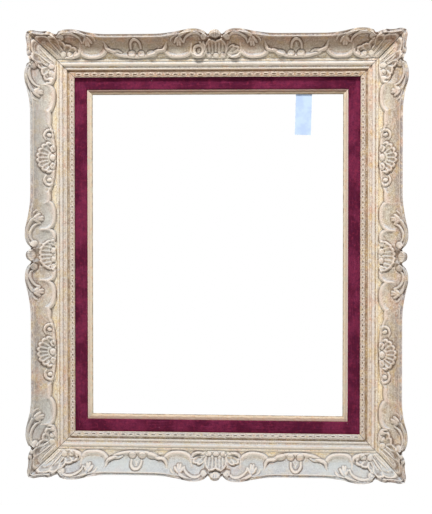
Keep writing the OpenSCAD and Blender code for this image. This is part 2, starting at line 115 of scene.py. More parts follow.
# %% [markdown]
# ## A kit for paints
# A real finish is laid on in coats, and each coat covers only a part of what lies below it. Every finish here
# is built in that way from nodes that are worked out at each point, so it needs no pictures and follows the
# form. One class adds the nodes and a second one starts a material from them, which keeps each recipe short.

# %% Helpers for shader nodes
def tone(red, green, blue):
    """A colour as a paint chart gives it, from 0 to 255, as the renderer wants it."""
    parts = [c / 255 for c in (red, green, blue)]
    parts = [c / 12.92 if c <= 0.04045 else ((c + 0.055) / 1.055) ** 2.4 for c in parts]
    return (*parts, 1.0)


class Nodes:
    """Adds nodes to a shader tree. Each method but add and put gives the output that is wanted."""

    def __init__(self, tree):
        self.tree = tree

    def put(self, socket, value):
        """Links an output to the socket, or sets a constant on it."""
        if isinstance(value, bpy.types.NodeSocket):
            self.tree.links.new(value, socket)
        else:
            socket.default_value = value

    def add(self, kind, settings=None, **values):
        """A node with its settings and the values of its inputs, called by name or by number as in _0."""
        node = self.tree.nodes.new("ShaderNode" + kind)
        for name, value in (settings or {}).items():
            setattr(node, name, value)
        for name, value in values.items():
            key = int(name[1:]) if name[0] == "_" else name.replace("_", " ")
            self.put(node.inputs[key], value)
        return node

    def joined(self, kind, first, *others):
        """The values joined by one kind of sum, in their order."""
        for value in others:
            first = self.add("Math", {"operation": kind}, _0=first, _1=value).outputs[0]
        return first

    def times(self, *values):
        return self.joined("MULTIPLY", *values)

    def plus(self, *values):
        return self.joined("ADD", *values)

    def place(self):
        return self.add("TexCoord").outputs["Object"]

    def mark(self, name):
        """What the mesh stores under a name."""
        return self.add("Attribute", {"attribute_name": name}).outputs["Fac"]

    def reach(self, value, low, high, to_low=0.0, to_high=1.0):
        """A soft step from to_low to to_high while the value goes from low to high."""
        return self.add("MapRange", {"interpolation_type": "SMOOTHSTEP"}, Value=value, From_Min=low,
                        From_Max=high, To_Min=to_low, To_Max=to_high).outputs[0]

    def cloud(self, place, scale, detail=3.0, roughness=0.55, **mapping):
        """Soft noise, with a Scale that stretches it or a Location that shifts it."""
        if mapping:
            place = self.add("Mapping", Vector=place, **mapping).outputs[0]
        return self.add("TexNoise", Vector=place, Scale=scale, Detail=detail, Roughness=roughness).outputs[0]

    def blend(self, share, under, over, kind="MIX"):
        settings = {"data_type": "RGBA", "blend_type": kind}
        return self.add("Mix", settings, _0=share, _6=under, _7=over).outputs[2]

    def coats(self, colour, *coats):
        """Coats over a colour: for each its mask, where that begins and is full, its share and its colour."""
        for mask, low, high, share, over in coats:
            colour = self.blend(self.reach(mask, low, high, 0, share), colour, over)
        return colour

    def ramp(self, value, stops):
        """The colour at a value between stops, which give a place and a colour, or a place and a level."""
        node = self.add("ValToRGB", _0=value)
        elements = node.color_ramp.elements
        while len(elements) < len(stops):
            elements.new(0.5)
        for element, (at, *colour) in zip(elements, stops):
            element.position = at
            element.color = tone(*colour) if len(colour) == 3 else (*colour * 3, 1)
        return node.outputs[0]


# %% Helper for materials
class Finish(Nodes):
    """A material that is built from such nodes."""

    def __init__(self, name):
        self.material = bpy.data.materials.new(name)
        self.material.use_nodes = True
        super().__init__(self.material.node_tree)
        self.shader = self.tree.nodes["Principled BSDF"]

    def finished(self, colour, roughness, height, strength, distance, **others):
        """The material, with the given values on its shader and a bump of the height."""
        bump = self.add("Bump", Height=height, Strength=strength, Distance=distance).outputs[0]
        values = {"Base_Color": colour, "Roughness": roughness, "Normal": bump, **others}
        for name, value in values.items():
            self.put(self.shader.inputs[name.replace("_", " ")], value)
        return self.material


print("brown stain:", [round(part, 3) for part in tone(108, 80, 54)])

# %% [markdown]
# ## Floor, backdrop and light
# The frame is shown as it hangs, so the floor is far below it. A big soft lamp above and in front darkens
# the undersides of the carving, as daylight from a window does, a weak one on the right softens their
# shade, and a white sky fills the rest. What only the camera, a mirror or a glass sees of the sky is plain
# white paper, which adds no light to the object.

# %% Sky, lamps and floor
SKY_LIGHT, KEY_WATTS, FILL_WATTS = 0.31, 98.0, 7.0
FLOOR_SIZE, FLOOR_LEVEL = 14, -1.5
scene = bpy.context.scene
scene.view_settings.view_transform = "Standard"
scene.world = bpy.data.worlds.new("white_sky")
scene.world.use_nodes = True
sky = Nodes(scene.world.node_tree)
sky.tree.nodes.clear()
rays = sky.add("LightPath").outputs
seen = sky.joined("MAXIMUM", rays["Is Camera Ray"], rays["Is Glossy Ray"], rays["Is Transmission Ray"])
giving = sky.add("Background", Color=(1.0, 0.99, 0.975, 1), Strength=SKY_LIGHT).outputs[0]
paper = sky.add("Background", Color=(1, 1, 1, 1), Strength=1.0).outputs[0]
sky.add("OutputWorld", Surface=sky.add("MixShader", _0=seen, _1=giving, _2=paper).outputs[0])

for name, place, size, watts, colour in (
        ("key_lamp", (-0.25, -1.55, 2.55), 0.7, KEY_WATTS, (1.0, 0.985, 0.96)),
        ("fill_lamp", (1.5, -2.6, -0.2), 1.6, FILL_WATTS, (0.98, 0.98, 1.0))):
    lamp = bpy.data.lights.new(name, "AREA")
    lamp.shape = "DISK"
    lamp.size, lamp.energy, lamp.color = size, watts, colour
    aimed(name, lamp, place)

bpy.ops.object.select_all(action="DESELECT")
bpy.ops.mesh.primitive_plane_add(size=FLOOR_SIZE, location=(0, 0, FLOOR_LEVEL))
floor = bpy.context.object
floor.name = "floor"
pale = Finish("pale_floor")
pale.put(pale.shader.inputs["Base Color"], (0.93, 0.93, 0.92, 1))
pale.put(pale.shader.inputs["Roughness"], 0.8)
camera_ray = pale.add("LightPath").outputs["Is Camera Ray"]
glow = pale.add("Emission", Color=(1, 1, 1, 1), Strength=camera_ray).outputs[0]
lit = pale.add("AddShader", _0=pale.shader.outputs[0], _1=glow).outputs[0]
pale.put(pale.tree.nodes["Material Output"].inputs["Surface"], lit)
floor.data.materials.append(pale.material)

# %% [markdown]
# ## The moulding under the carving
# A carver starts from a planed moulding. Its section runs from the rounded rim down the hollow cove to a
# flat fillet, a round torus, a thin quirk and ridge, a groove and the band that the leaf tips are cut in.
# The section is kept as a line of points, so the level of the plain moulding is known at any distance in
# from the edge.

# %% Section of the plain moulding
def arc(start, end, sag, steps):
    """Points of a circular arc from start to end that stands out to its left by sag."""
    start, end = np.array(start, float), np.array(end, float)
    chord = end - start
    length = np.hypot(*chord)
    left = np.array((-chord[1], chord[0])) / length
    radius = (length ** 2 / 4 + sag ** 2) / (2 * abs(sag))
    centre = (start + end) / 2 + left * (abs(sag) - radius) * np.sign(sag)
    share = np.linspace(0, 1, steps + 1)[:, None]
    line = start + chord * share - centre
    return (centre + line / np.hypot(line[:, 0], line[:, 1])[:, None] * radius).tolist()


RIM_OUT, RIM_IN = (0.0, 42.8), (4.62, 43.8)
COVE_END, FILLET_END = (38.3, 22.0), (41.5, 22.0)
section = [
    *arc(RIM_OUT, RIM_IN, 2.55, 10),
    *arc(RIM_IN, COVE_END, -5.0, 40)[1:],
    (38.5, 22.15), FILLET_END, (41.8, 20.8),
    *arc((42.5, 21.5), (48.0, 20.5), 2.2, 12),
    (48.6, 18.6), (51.2, 18.4),
    *arc((51.5, 19.0), (54.3, 19.0), 1.0, 6),
    (54.8, 16.3), (57.8, 16.3), (58.3, 18.9), (63.5, 19.8), (65.6, 19.2), (66.0, 18.4),
]
section_t, section_h = np.array(section).T
print("section:", len(section), "points, rim at", round(section_h.max(), 1), "mm")

# %% [markdown]
# ## The outline
# The rim isn't straight: it swings out at the corners, dips at the volutes and rises in two crests beside a
# fluted ball in the middle of every side. A carver bandsaws this outline first. Here it is a soft curve
# through a few chosen points, and the rim and the outer side follow it while the inner mouldings stay
# straight.

# %% How far the outline swings out
CORNER_LINE = (
    (-12, 1.8), (-7, 3.4), (-4, 4.9), (0, 6.4), (4, 6.7), (11, 5.4), (18, 4.7), (26, 5.2), (32, 3.8), (38, 1),
    (42, 0.8), (48, 5.6), (56, 8.3), (64, 8.9), (73, 8), (82, 5.7), (92, 3.2), (102, 1.4), (112, 0.4),
    (122, 0),
)
MIDDLE_LINE = (
    (0, 7.6), (3, 7.1), (6, 5.4), (8.5, 1.6), (10.5, -0.6), (13, 0.6), (17, 4.4), (23, 7.4), (31, 8.9),
    (40, 8.7), (50, 6.6), (60, 4.3), (70, 2.5), (80, 1.1), (90, 0.3), (100, 0),
)
SHORT_CRESTS = 0.87  # height of the short sides' crests, as a share of the others


def through(points, value):
    """A soft curve through chosen points, flat beyond its ends."""
    at, level = np.array(points, float).T
    slope = np.gradient(level, at)
    slope[0] = slope[-1] = 0
    value = np.clip(value, at[0], at[-1])
    i = np.clip(np.searchsorted(at, value) - 1, 0, len(at) - 2)
    gap = at[i + 1] - at[i]
    u = (value - at[i]) / gap
    return (level[i] * (1 + 2 * u) * (1 - u) ** 2 + slope[i] * gap * u * (1 - u) ** 2
            + level[i + 1] * u * u * (3 - 2 * u) + slope[i + 1] * gap * u * u * (u - 1))


def swing(half_len, s):
    """How far the outline stands outside the straight edge at s."""
    corner = half_len - np.abs(s)
    full = np.minimum(through(CORNER_LINE, corner) + through(MIDDLE_LINE, np.abs(s)), CREST_OUT)
    return full * (1 if half_len == HALF_H else 1 - (1 - SHORT_CRESTS) * smooth(corner, 44, 60))


print("swing at the middle, crest and plain rim:", swing(HALF_W, np.array((0, 36, 150))).round(1))

# %% [markdown]
# ## Carving tools
# Four cuts make nearly all of the ornament. A scallop lays a thick raised lip round a smooth dish and sinks
# the ground below it, a shell is a fan of hollow flutes under a scalloped rim, a bead is a small dome in a
# ring of shade, and a strand is a tapering ridge, such as one rib of an acanthus leaf, that leaves a cut on
# both of its sides.

# %% Scallops
LIP_RISE, LIP_WIDE, GROUND_SINK = 4.0, 6.0, 1.3
SCALLOP_TOP, SCALLOP_CUSP, SCALLOP_POWER = 12.0, 31.5, 2.3


def scallop(s, t, start, end, bottom):
    """Distance inside one scallop that hangs from start to end and meets its neighbours at the cusp."""
    deep = bottom - SCALLOP_TOP
    level = min(max((SCALLOP_CUSP - SCALLOP_TOP) / deep, 0), 0.9)
    half = (end - start) / 2 / (1 - level ** SCALLOP_POWER) ** (1 / SCALLOP_POWER)
    x, y = (s - (start + end) / 2), np.maximum(t - SCALLOP_TOP, 0)
    ring = ((np.abs(x) / half) ** SCALLOP_POWER + (y / deep) ** SCALLOP_POWER) ** (1 / SCALLOP_POWER) + 1e-6
    return np.hypot(x, y) * (1 / ring - 1) + 1e-6 / ring


def lip(inside):
    """Height of the lip and its dish over the moulding, from the distance inside the scallops."""
    raised = LIP_RISE * smooth(inside, -0.3, 2.2) * (1 - 0.7 * smooth(inside, 3.4, LIP_WIDE + 3)
                                                     - 0.3 * smooth(inside, LIP_WIDE, 3 * LIP_WIDE))
    sunk = GROUND_SINK * (1 - smooth(inside, -1.0, 0.4)) + 1.0 * np.exp(-((inside + 0.9) / 0.9) ** 2)
    return raised, sunk


# %% Shells
def shell(s, t, focus, spans, lobes, rise, length, depth, edge=2.4, notch=3.2):
    """Height of a fan of flutes over its focus. spans are (angle from straight out, length) of its rim.
    Flutes with a depth are hollow. A negative depth gives round ribs with narrow cuts between."""
    x, y = s - focus[0], focus[1] - t
    out, angle = np.hypot(x, y), np.degrees(np.arctan2(x, y))
    first, last = spans[0][0], spans[-1][0]
    part = (angle - first) / (last - first) * lobes
    arch = np.abs(np.sin(np.pi * part))
    inward = np.interp(angle, *np.array(spans, float).T) - notch * (1 - arch ** 0.5) - out
    fan = rise * (1 - 0.45 * smooth(inward, edge, length))
    fluted = smooth(inward, 0.6 * edge, edge + 1.6) * (1 - smooth(inward, length - 5, length))
    hollow = (depth * arch ** 0.45 if depth > 0 else -depth * (1 - smooth(arch, 0.0, 0.55))) * fluted
    inside = (smooth(inward, -1.7, 0.2) * smooth(out, 3, 7) * (1 - smooth(t, 36.6, 38.0))
              * smooth(part, -0.06, 0.06) * (1 - smooth(part, lobes - 0.06, lobes + 0.06)))
    cut = 1.0 * np.exp(-((inward + 2.6) / 1.4) ** 2) * (part > 0) * (part < lobes) * (t < 37)
    rim = inside * (1 - smooth(inward, 0.8 * edge, edge + 1.4))
    return inside, fan - hollow, cut, rim


# %% Beads and strands
class Carving:
    """Ridges and cuts over one rail: where they overlap the highest ridge and the deepest cut count."""

    def __init__(self, s, t):
        self.s, self.t = s, t
        self.ridge, self.cut = np.zeros_like(s), np.zeros_like(s)

    def near(self, points, margin):
        low, high = np.min(points, axis=0) - margin, np.max(points, axis=0) + margin
        return (self.s > low[0]) & (self.s < high[0]) & (self.t > low[1]) & (self.t < high[1])

    def raise_to(self, here, ridge, cut):
        self.ridge[here] = np.maximum(self.ridge[here], ridge)
        self.cut[here] = np.maximum(self.cut[here], cut)

    def bead(self, at, radii, rise, turn=0, cut=1.1, flutes=0, curl=0):
        """A dome in a ring of shade, which can have flutes or a curled groove."""
        here = self.near([at], 2.2 * max(radii))
        x, y = self.s[here] - at[0], self.t[here] - at[1]
        c, n = math.cos(math.radians(turn)), math.sin(math.radians(turn))
        along, across = (x * c + y * n) / radii[0], (y * c - x * n) / radii[1]
        ring = np.hypot(along, across)
        dome = rise * np.sqrt(np.clip(1 - ring ** 2, 0, 1))
        if flutes:
            dome = dome * (0.66 + 0.34 * np.abs(np.cos(math.pi * flutes * along / 2)))
        if curl:
            way_round = np.mod(1.5 * ring + curl * np.arctan2(across, along) / (2 * math.pi), 1)
            groove = 1.1 * np.exp(-((way_round - 0.5) / 0.13) ** 2)
            dome = dome - groove * smooth(ring, 0.1, 0.3) * (1 - smooth(ring, 0.8, 1))
        self.raise_to(here, dome, cut * np.exp(-((ring - 1.12) / 0.18) ** 2))

    def strand(self, path, wide, rise, ends=(0.35, 0.35), cut=0.9):
        """A ridge along a path that tapers to a share of its width at each end."""
        line = spun(path)
        here = self.near(line, 2.5 * wide)
        s, t = self.s[here], self.t[here]
        best, along = np.full(s.shape, 1e9), np.zeros(s.shape)
        lengths = np.concatenate(([0], np.cumsum(np.hypot(*np.diff(line, axis=0).T))))
        for (a, b), start, end in zip(zip(line[:-1], line[1:]), lengths[:-1], lengths[1:]):
            way = b - a
            u = np.clip(((s - a[0]) * way[0] + (t - a[1]) * way[1]) / (way @ way), 0, 1)
            away = np.hypot(s - a[0] - u * way[0], t - a[1] - u * way[1])
            closer = away < best
            best[closer] = away[closer]
            along[closer] = ((start + u * (end - start)) / lengths[-1])[closer]
        full = np.interp(along, (0, 0.3, 0.7, 1), (ends[0], 1, 1, ends[1]))
        ring = best / (wide * full)
        self.raise_to(here, rise * full * np.sqrt(np.clip(1 - ring ** 2, 0, 1)),
                      cut * full * np.exp(-((ring - 1.22) / 0.3) ** 2))

    def leaf(self, root, tips, wide, rise):
        """A curled leaf end: fat lobes that spread from one root."""
        for tip in tips:
            half_way = ((root[0] + tip[0]) / 2, (root[1] + tip[1]) / 2)
            self.strand([root, half_way, tip], wide, rise, ends=(0.5, 0.72))

    def height(self):
        return self.ridge - self.cut * (1 - smooth(self.ridge, 0.1, 0.9))


SPUN_STEPS = 5


def spun(path):
    """A few chosen points joined by a smooth line."""
    p = np.array(path, float)
    p = np.vstack((2 * p[0] - p[1], p, 2 * p[-1] - p[-2]))
    line = [p[1]]
    for a, b, c, d in zip(p[:-3], p[1:-2], p[2:-1], p[3:]):
        for u in np.linspace(0, 1, SPUN_STEPS + 1)[1:]:
            line.append(0.5 * (2 * b + (c - a) * u + (2 * a - 5 * b + 4 * c - d) * u ** 2
                               + (3 * b - a - 3 * c + d) * u ** 3))
    return np.array(line)


print("a strand's line has", len(spun([(0, 0), (5, 3), (9, 8)])), "points")

# %% [markdown]
# ## Where the ornament goes
# All four sides share the carving of the corners, and the crests, volutes and ball of their middles. Below
# its ball a long side has a wide shell, and a short side a small one between two fluted wings. Each list
# gives half a side. The corner and the scallops along the side are measured from the mitre's outer point,
# the middle from the middle of the side, and what is carved between those two from its own centre.

# %% Scallops along half a side: start, end and lowest point
CORNER_SCALLOPS = ((40, 77.5, 38.2),)
SHORT_SCALLOPS = ((77, 116, 37.8), (115.5, 132.5, 27.0), (131, 196, 37.2), (195.5, 211, 28.0),
                  (210.5, 251, 37.6))
LONG_SCALLOPS = ((78, 118.8, 37.0), (118.4, 146.5, 30.4), (145.8, 239.4, 37.2), (239.2, 262.5, 29.8),
                 (262.3, 301.6, 37.4))
MIDDLE_SCALLOPS = ((-17, 17, 37.2), (16.5, 39.8, 37.6))


def scallops(s, t, half_len, long_side):
    """Distance inside the nearest scallop of half a rail."""
    corner, middle = half_len - np.abs(s), np.abs(s)
    inside = np.full(s.shape, -9.0)
    for start, end, bottom in CORNER_SCALLOPS + (LONG_SCALLOPS if long_side else SHORT_SCALLOPS):
        inside = np.maximum(inside, scallop(corner, t, start, end, bottom))
    for start, end, bottom in MIDDLE_SCALLOPS:
        inside = np.maximum(inside, scallop(middle, t, start, end, bottom))
    return inside


# %% Carving of the corner, from the mitre's outer point
def carve_corner(c, t):
    """Ridges, beads, volute, leaf and veins on both sides of the corner's shell."""
    work = Carving(c, t)
    work.strand([(-6, -6), (4, -3.5), (14, -1.5), (22, -0.5), (29, 1)], 2.2, 1.1)
    work.bead((27.5, -1.6), (4.2, 3.2), 2.2, turn=-10)
    work.bead((35, 0.4), (4, 3.4), 2.4, turn=20)
    work.bead((47, 5.2), (5.4, 5.2), 4.2, cut=1.4, curl=1)
    work.strand([(46, -1), (52, -4.6), (60, -6), (70, -5), (79, -1.4), (86, 3)], 2.7, 2.4, (0.7, 0.9))
    work.strand([(50, 0.6), (56, -1), (64, -0.8), (72, 2.2), (78, 7), (80.5, 12.5)], 2.1, 2.6, (0.7, 0.8))
    work.strand([(84, -4.6), (92, -1.6), (100, 0.6), (108, 2.2)], 1.9, 0.9)
    work.leaf((88.5, 4.5), ((83.5, 12), (87.5, 16), (91.5, 16.5), (96, 12.5)), 2.9, 3.4)
    work.strand([(96.5, 4), (101, 7), (103, 12)], 1.6, 1.1)
    work.bead((49.5, 30.6), (4.6, 5), 1.5, turn=20)
    work.bead((60.5, 30.8), (5, 4.6), 1.5, turn=-10)
    work.bead((69.5, 30.2), (3.8, 4.8), 1.5)
    for vein in ([(21, 14), (33, 25), (44, 37)], [(31, 12), (40, 23), (47.5, 33)], [(44, 17), (49, 25)]):
        work.strand(vein, 1.7, 1.2, (0.5, 0.5), cut=1.1)
    work.strand([(70, 20), (74.5, 25), (74.5, 32), (70, 36)], 1.8, 1.3)
    return work


CORNER_FOCUS = (44.5, 42)
CORNER_SPANS = ((-46, 54.5), (-36, 51), (-28, 45.5), (-11, 39), (4, 32.5), (14, 29.6), (28, 29), (42, 32),
                (52, 32.5), (62, 31.5))


# %% Carving of the middle of a side, and of the shells between
def carve_middle(m, t, long_side):
    """Fluted ball, volutes, crests with their acanthus strands, hanging leaves and the cartouche's feet."""
    work = Carving(m, t)
    work.bead((0, 0.4), (9.2, 6.6), 4.2, cut=1.4, flutes=5)
    work.bead((18, 4.8), (5.4, 5.2), 4.2, cut=1.4, curl=1)
    work.strand([(17, -0.5), (23, -4.4), (32, -6), (42, -4.6), (50, -0.8), (56, 3.4)], 2.7, 2.4, (0.7, 0.9))
    work.strand([(22.5, 3), (28, -0.6), (36, -0.8), (43, 2.6), (48, 7.4), (49.8, 13)], 2.1, 2.6, (0.7, 0.8))
    work.strand([(54, -3.6), (62, -1), (72, 1), (82, 2.4)], 1.9, 0.9)
    work.leaf((57, 4.5), ((51.5, 12), (55.5, 16.5), (59.5, 16.5), (64, 12.5)), 2.9, 3.4)
    work.strand([(64.5, 4), (69, 7), (71, 12)], 1.6, 1.1)
    if long_side:
        feet = ((7, 4.8), (19.5, 5.2))
    else:
        feet = ((0, 4.6), (11.5, 4.6))
        work.strand([(20, 33), (26, 34.5), (32, 33.5), (37, 29.5)], 2.4, 2.4, (0.7, 0.5))
        work.strand([(-0.5, 11.8), (4.5, 9.8), (8.5, 8.6), (13.2, 10.6), (16.4, 17.5)], 2.3, 1.8, (0.9, 0.6))
    for at, wide in feet:
        work.bead((at, 33), (wide, 4), 1.7)
    return work


def carve_loop(s, t):
    """The curled loop and the leaf left of the top rail's middle, where the other wings are flutes."""
    work = Carving(s, t)
    work.strand([(21.5, 19.5), (27, 17.6), (33, 20.5), (34, 27), (30, 32.4), (24, 31.6), (20.8, 26),
                 (21.5, 19.5)], 2.5, 2.6, (0.9, 0.9), cut=1.5)
    work.leaf((17.5, 24), ((25, 12.5), (19.5, 11.5)), 2.6, 2)
    return work


WIDE_FOCUS = (0, 75)
WIDE_SPANS = ((-27, 51), (-21, 56.5), (-15, 60), (-8, 62.5), (-2, 63), (0, 61.5), (2, 63), (8, 62.5),
              (15, 60), (21, 56.5), (27, 51))
MIDDLE_FOCUS = (0, 110)
MIDDLE_SPANS = ((-10.2, 92), (-9, 97), (-5, 101.4), (-2, 100), (0, 98), (2, 100), (5, 101.4), (9, 97),
                (10.2, 92))
WING_FOCUS = (12, 37)
WING_SPANS = ((26, 21), (42, 27), (56, 29), (68, 28), (80, 24))
LONG_FOCUS = (0, 40)
LONG_SPANS = ((-66, 26), (-48, 29.5), (-24, 30), (0, 30), (24, 30), (48, 29.5), (66, 26))
LONG_AT, SHORT_AT = 191.7, 161.5


def carve_between(x, t, long_side):
    """Beads below the shell between the corner and the middle, and the curls at its sides."""
    work = Carving(x, t)
    if long_side:
        for at in (-13.6, 0, 13.6):
            work.bead((at, 32.2), (5.4, 4.7), 2.3)
        for way in (-1, 1):
            work.strand([(28 * way, 22), (34 * way, 19.5), (41 * way, 22.5), (43 * way, 29), (39 * way, 34.5),
                         (32 * way, 33.5)], 2.3, 2.1, (0.6, 0.8))
            work.bead((35 * way, 27), (3.4, 4), 2, turn=25 * way)
    else:
        work.strand([(-4.6, 22), (-4.4, 15), (-1.2, 10.2), (3, 9), (7.4, 10.4), (10.4, 15), (11.4, 21)],
                    2.3, 3.2, (0.8, 0.8), cut=1.5)
        for foot in (0.8, 3.6, 6.4):
            work.strand([(3.2, 13.5), (foot, 23)], 1, 0.9, cut=1.2)
        for at, wide, rise in ((-3.2, 5.8, 1.9), (12, 5.8, 1.9), (28, 7.6, 2.6)):
            work.bead((at, 29.6), (wide, 5.4), rise)
        work.strand([(-48, 9.5), (-45, 14.5), (-42.5, 20.5), (-37.5, 24.2), (-31, 25.6), (-25, 25.2),
                     (-19, 28)], 2.7, 2.1, (0.15, 0.6), cut=1.5)
        work.strand([(30, 27.5), (36, 25.2), (42, 26), (47, 24.4), (50, 20.5), (51.6, 14.5), (53, 9.5)],
                    2.7, 2.1, (0.6, 0.15), cut=1.5)
    return work


# %% The whole carved surface of a rail
LEAF_PITCH = {"top": 13.0, "bottom": 12.0, "left": 8.4, "right": 8.4}
LEAF_T = 61.7
TIP_FILL = 2.4  # how much shallower the cove is near the corner's tip


def leaf_tips(s, t, side):
    """Row of leaf tips along the inner edge: a raised oval with a narrow hollow in it."""
    run = SIDES[side][1] - RAIL_W
    step = 2 * run / math.ceil(2 * run / LEAF_PITCH[side])
    x = np.mod(s + run, step) - step / 2
    tip = np.hypot(x / step / 0.5, (t - LEAF_T) / 3.0)
    hollow = np.hypot(x / step / 0.35, (t - LEAF_T - 0.4) / 1.4)
    on = (np.abs(s) < run) * smooth(t, 58.2, 58.8) * (1 - smooth(t, 64.9, 65.6))
    return on * (1.5 * (1 - smooth(tip, 0.5, 1.05)) - 2.4 * (1 - smooth(hollow, 0.4, 1.1)) - 0.8)


def carve(s, t, side):
    """Height of the ornament over the moulding, and how far each point is sunk ground, dish or lip."""
    half_len, long_side = SIDES[side][1], side in ("left", "right")
    corner, middle = half_len - np.abs(s), np.abs(s)
    between = corner - (LONG_AT if long_side else SHORT_AT)
    fluted_wing = 1 - (side == "top") * smooth(s, 8, 12)
    inside = scallops(s, t, half_len, long_side)
    raised, sunk = lip(inside)
    in_band = smooth(t, 8.0, 18.0) * (1 - smooth(t, 38.0, 38.5))
    ground = (1 - smooth(inside, -1.4, -0.2)) * smooth(t, 13.0, 20.0) * (1 - smooth(t, 38.0, 38.5))
    height = (raised - sunk) * in_band
    height = height + TIP_FILL * (1 - smooth(corner, 8, 34)) * smooth(t, 3.5, 8) * (1 - smooth(t, 24, 36))
    shells = [(corner, 1, CORNER_FOCUS, CORNER_SPANS, 5, 3.7, 13, 2.8)]
    if long_side:
        shells.append((middle, 1, WIDE_FOCUS, WIDE_SPANS, 8, 3.6, 20, 2.1, 2.8, 1.4))
        shells.append((between, 1, LONG_FOCUS, LONG_SPANS, 8, 3.2, 17, 2.3))
    else:
        shells.append((middle, fluted_wing, WING_FOCUS, WING_SPANS, 3, 3.0, 16, 1.9))
        shells.append((middle, 1, MIDDLE_FOCUS, MIDDLE_SPANS, 6, 3.9, 21, 2.3, 3.6, 0.5))
    lips = smooth(inside, 0, 1.2) * (1 - smooth(inside, 4, 9)) * in_band
    for x, share, *shape in shells:
        there, level, cut, rim = shell(x, t, *shape)
        lips = np.maximum(lips * (1 - there * share), rim * share)
        there, cut = there * share * smooth(t, 1.0, 3.0), cut * share * smooth(t, 1.0, 3.0)
        height = height * (1 - there) + level * there - cut * (1 - there)
    works = [carve_corner(corner, t), carve_middle(middle, t, long_side)]
    works.append(carve_between(between, t, long_side))
    if side == "top":
        works.append(carve_loop(s, t))
    for work in works:
        height = height + work.height()
    dish = smooth(inside, 5, 11) * (1 - smooth(height, 0.6, 1.6)) * smooth(t, 8, 16)
    return height + leaf_tips(s, t, side), ground, dish, lips


middle_foot = carve(np.array([[0.0]]), np.array([[31.0]]), "top")[0]
print("carving is", middle_foot.round(2), "mm high on the middle foot")

# %% [markdown]
# ## A rail is carved from one grid
# A grid gives even faces to carve. It is rolled round the rail's section like a sheet of paper round a
# stick, with every point of its front cut to the height of the ornament there. Then its seam is welded and
# its two ends are filled on the mitres. A real rail is carved by hand, so a little unevenness of its own goes
# into every one.

# %% Rows round the section
def row_places():
    """(t, h, share of the swing, share of the carving) of every row, once round the section."""
    side = [(SIDE_LEAN * (1 - h / RIM_OUT[1]), h, smooth(h, 14, 39), 0.0)
            for h in (0, 5, 10, 15, 19, 23, 26, 29, 32, 35, 37.5, 39.8, 41.6)]
    rim, cove = np.arange(0, 4.6, 0.58), np.arange(4.62, 41.45, 0.615)
    mouldings, leaves = section_t[section_t > 41.4], np.arange(58.8, 65.5, 0.55)
    front_t = np.unique(np.concatenate((rim, cove, mouldings, leaves, (48.3, 50.0, 55.8, 56.8))).round(3))
    front_h = np.interp(front_t, section_t, section_h)
    front = [(t, h, 1 - smooth(t, 4.6, 22), 1.0) for t, h in zip(front_t, front_h)]
    rebate = [(RAIL_W, 16.2), (RAIL_W, REBATE_H), (62, REBATE_H), (REBATE_T, REBATE_H), (REBATE_T, 9),
              (REBATE_T, 4), (REBATE_T, 0)]
    back = [(t, h, 0.0, 0.0) for t, h in (*rebate, (48, 0), (36, 0), (24, 0), (14, 0))]
    return np.array(side + front + back)


ROWS = row_places()
print(len(ROWS), "rows,", int(ROWS[:, 3].sum()), "of them carved")


# %% Unevenness and averages
def uneven(s, t, size, seed):
    """Smooth random lumps from -1 to 1 of about the given size in millimetres."""
    table = np.random.default_rng(seed).uniform(-1, 1, (512, 256))
    x, y = s / size + 1000, t / size + 1000
    i, j = np.floor(x).astype(int), np.floor(y).astype(int)
    u, v = smooth(x - i, 0, 1), smooth(y - j, 0, 1)

    def row(i):
        return table[i % 512, j % 256] * (1 - v) + table[i % 512, (j + 1) % 256] * v

    return row(i) * (1 - u) + row(i + 1) * u


def averaged(field, reach):
    """The mean of the field over reach neighbours each way, along the rail and across it."""
    for axis in (0, 1):
        field = np.moveaxis(field, axis, 0)
        wide = np.concatenate([field[:1]] * (reach + 1) + [field] + [field[-1:]] * reach)
        total = np.cumsum(wide, axis=0)
        field = np.moveaxis((total[2 * reach + 1:] - total[:-2 * reach - 1]) / (2 * reach + 1), 0, axis)
    return field


# %% One carved rail
# How strong the painted shade over the rim, the top of the cove and the leaf tips is on each rail, strongest
# on the top rail.
RAIL_PAINTED_SHADE = {"top": 0.85, "left": 0.2, "right": 0.25, "bottom": 0.0}
COOL_SHARE = {"top": 0.1, "left": 1.0, "right": 0.15, "bottom": 0.8}
COLUMNS = {"top": 600, "bottom": 600, "left": 700, "right": 700}
RAIL_SMOOTH, WELD = 62, 1e-6
RAIL_SEED, SEED_STEP = 5, 11


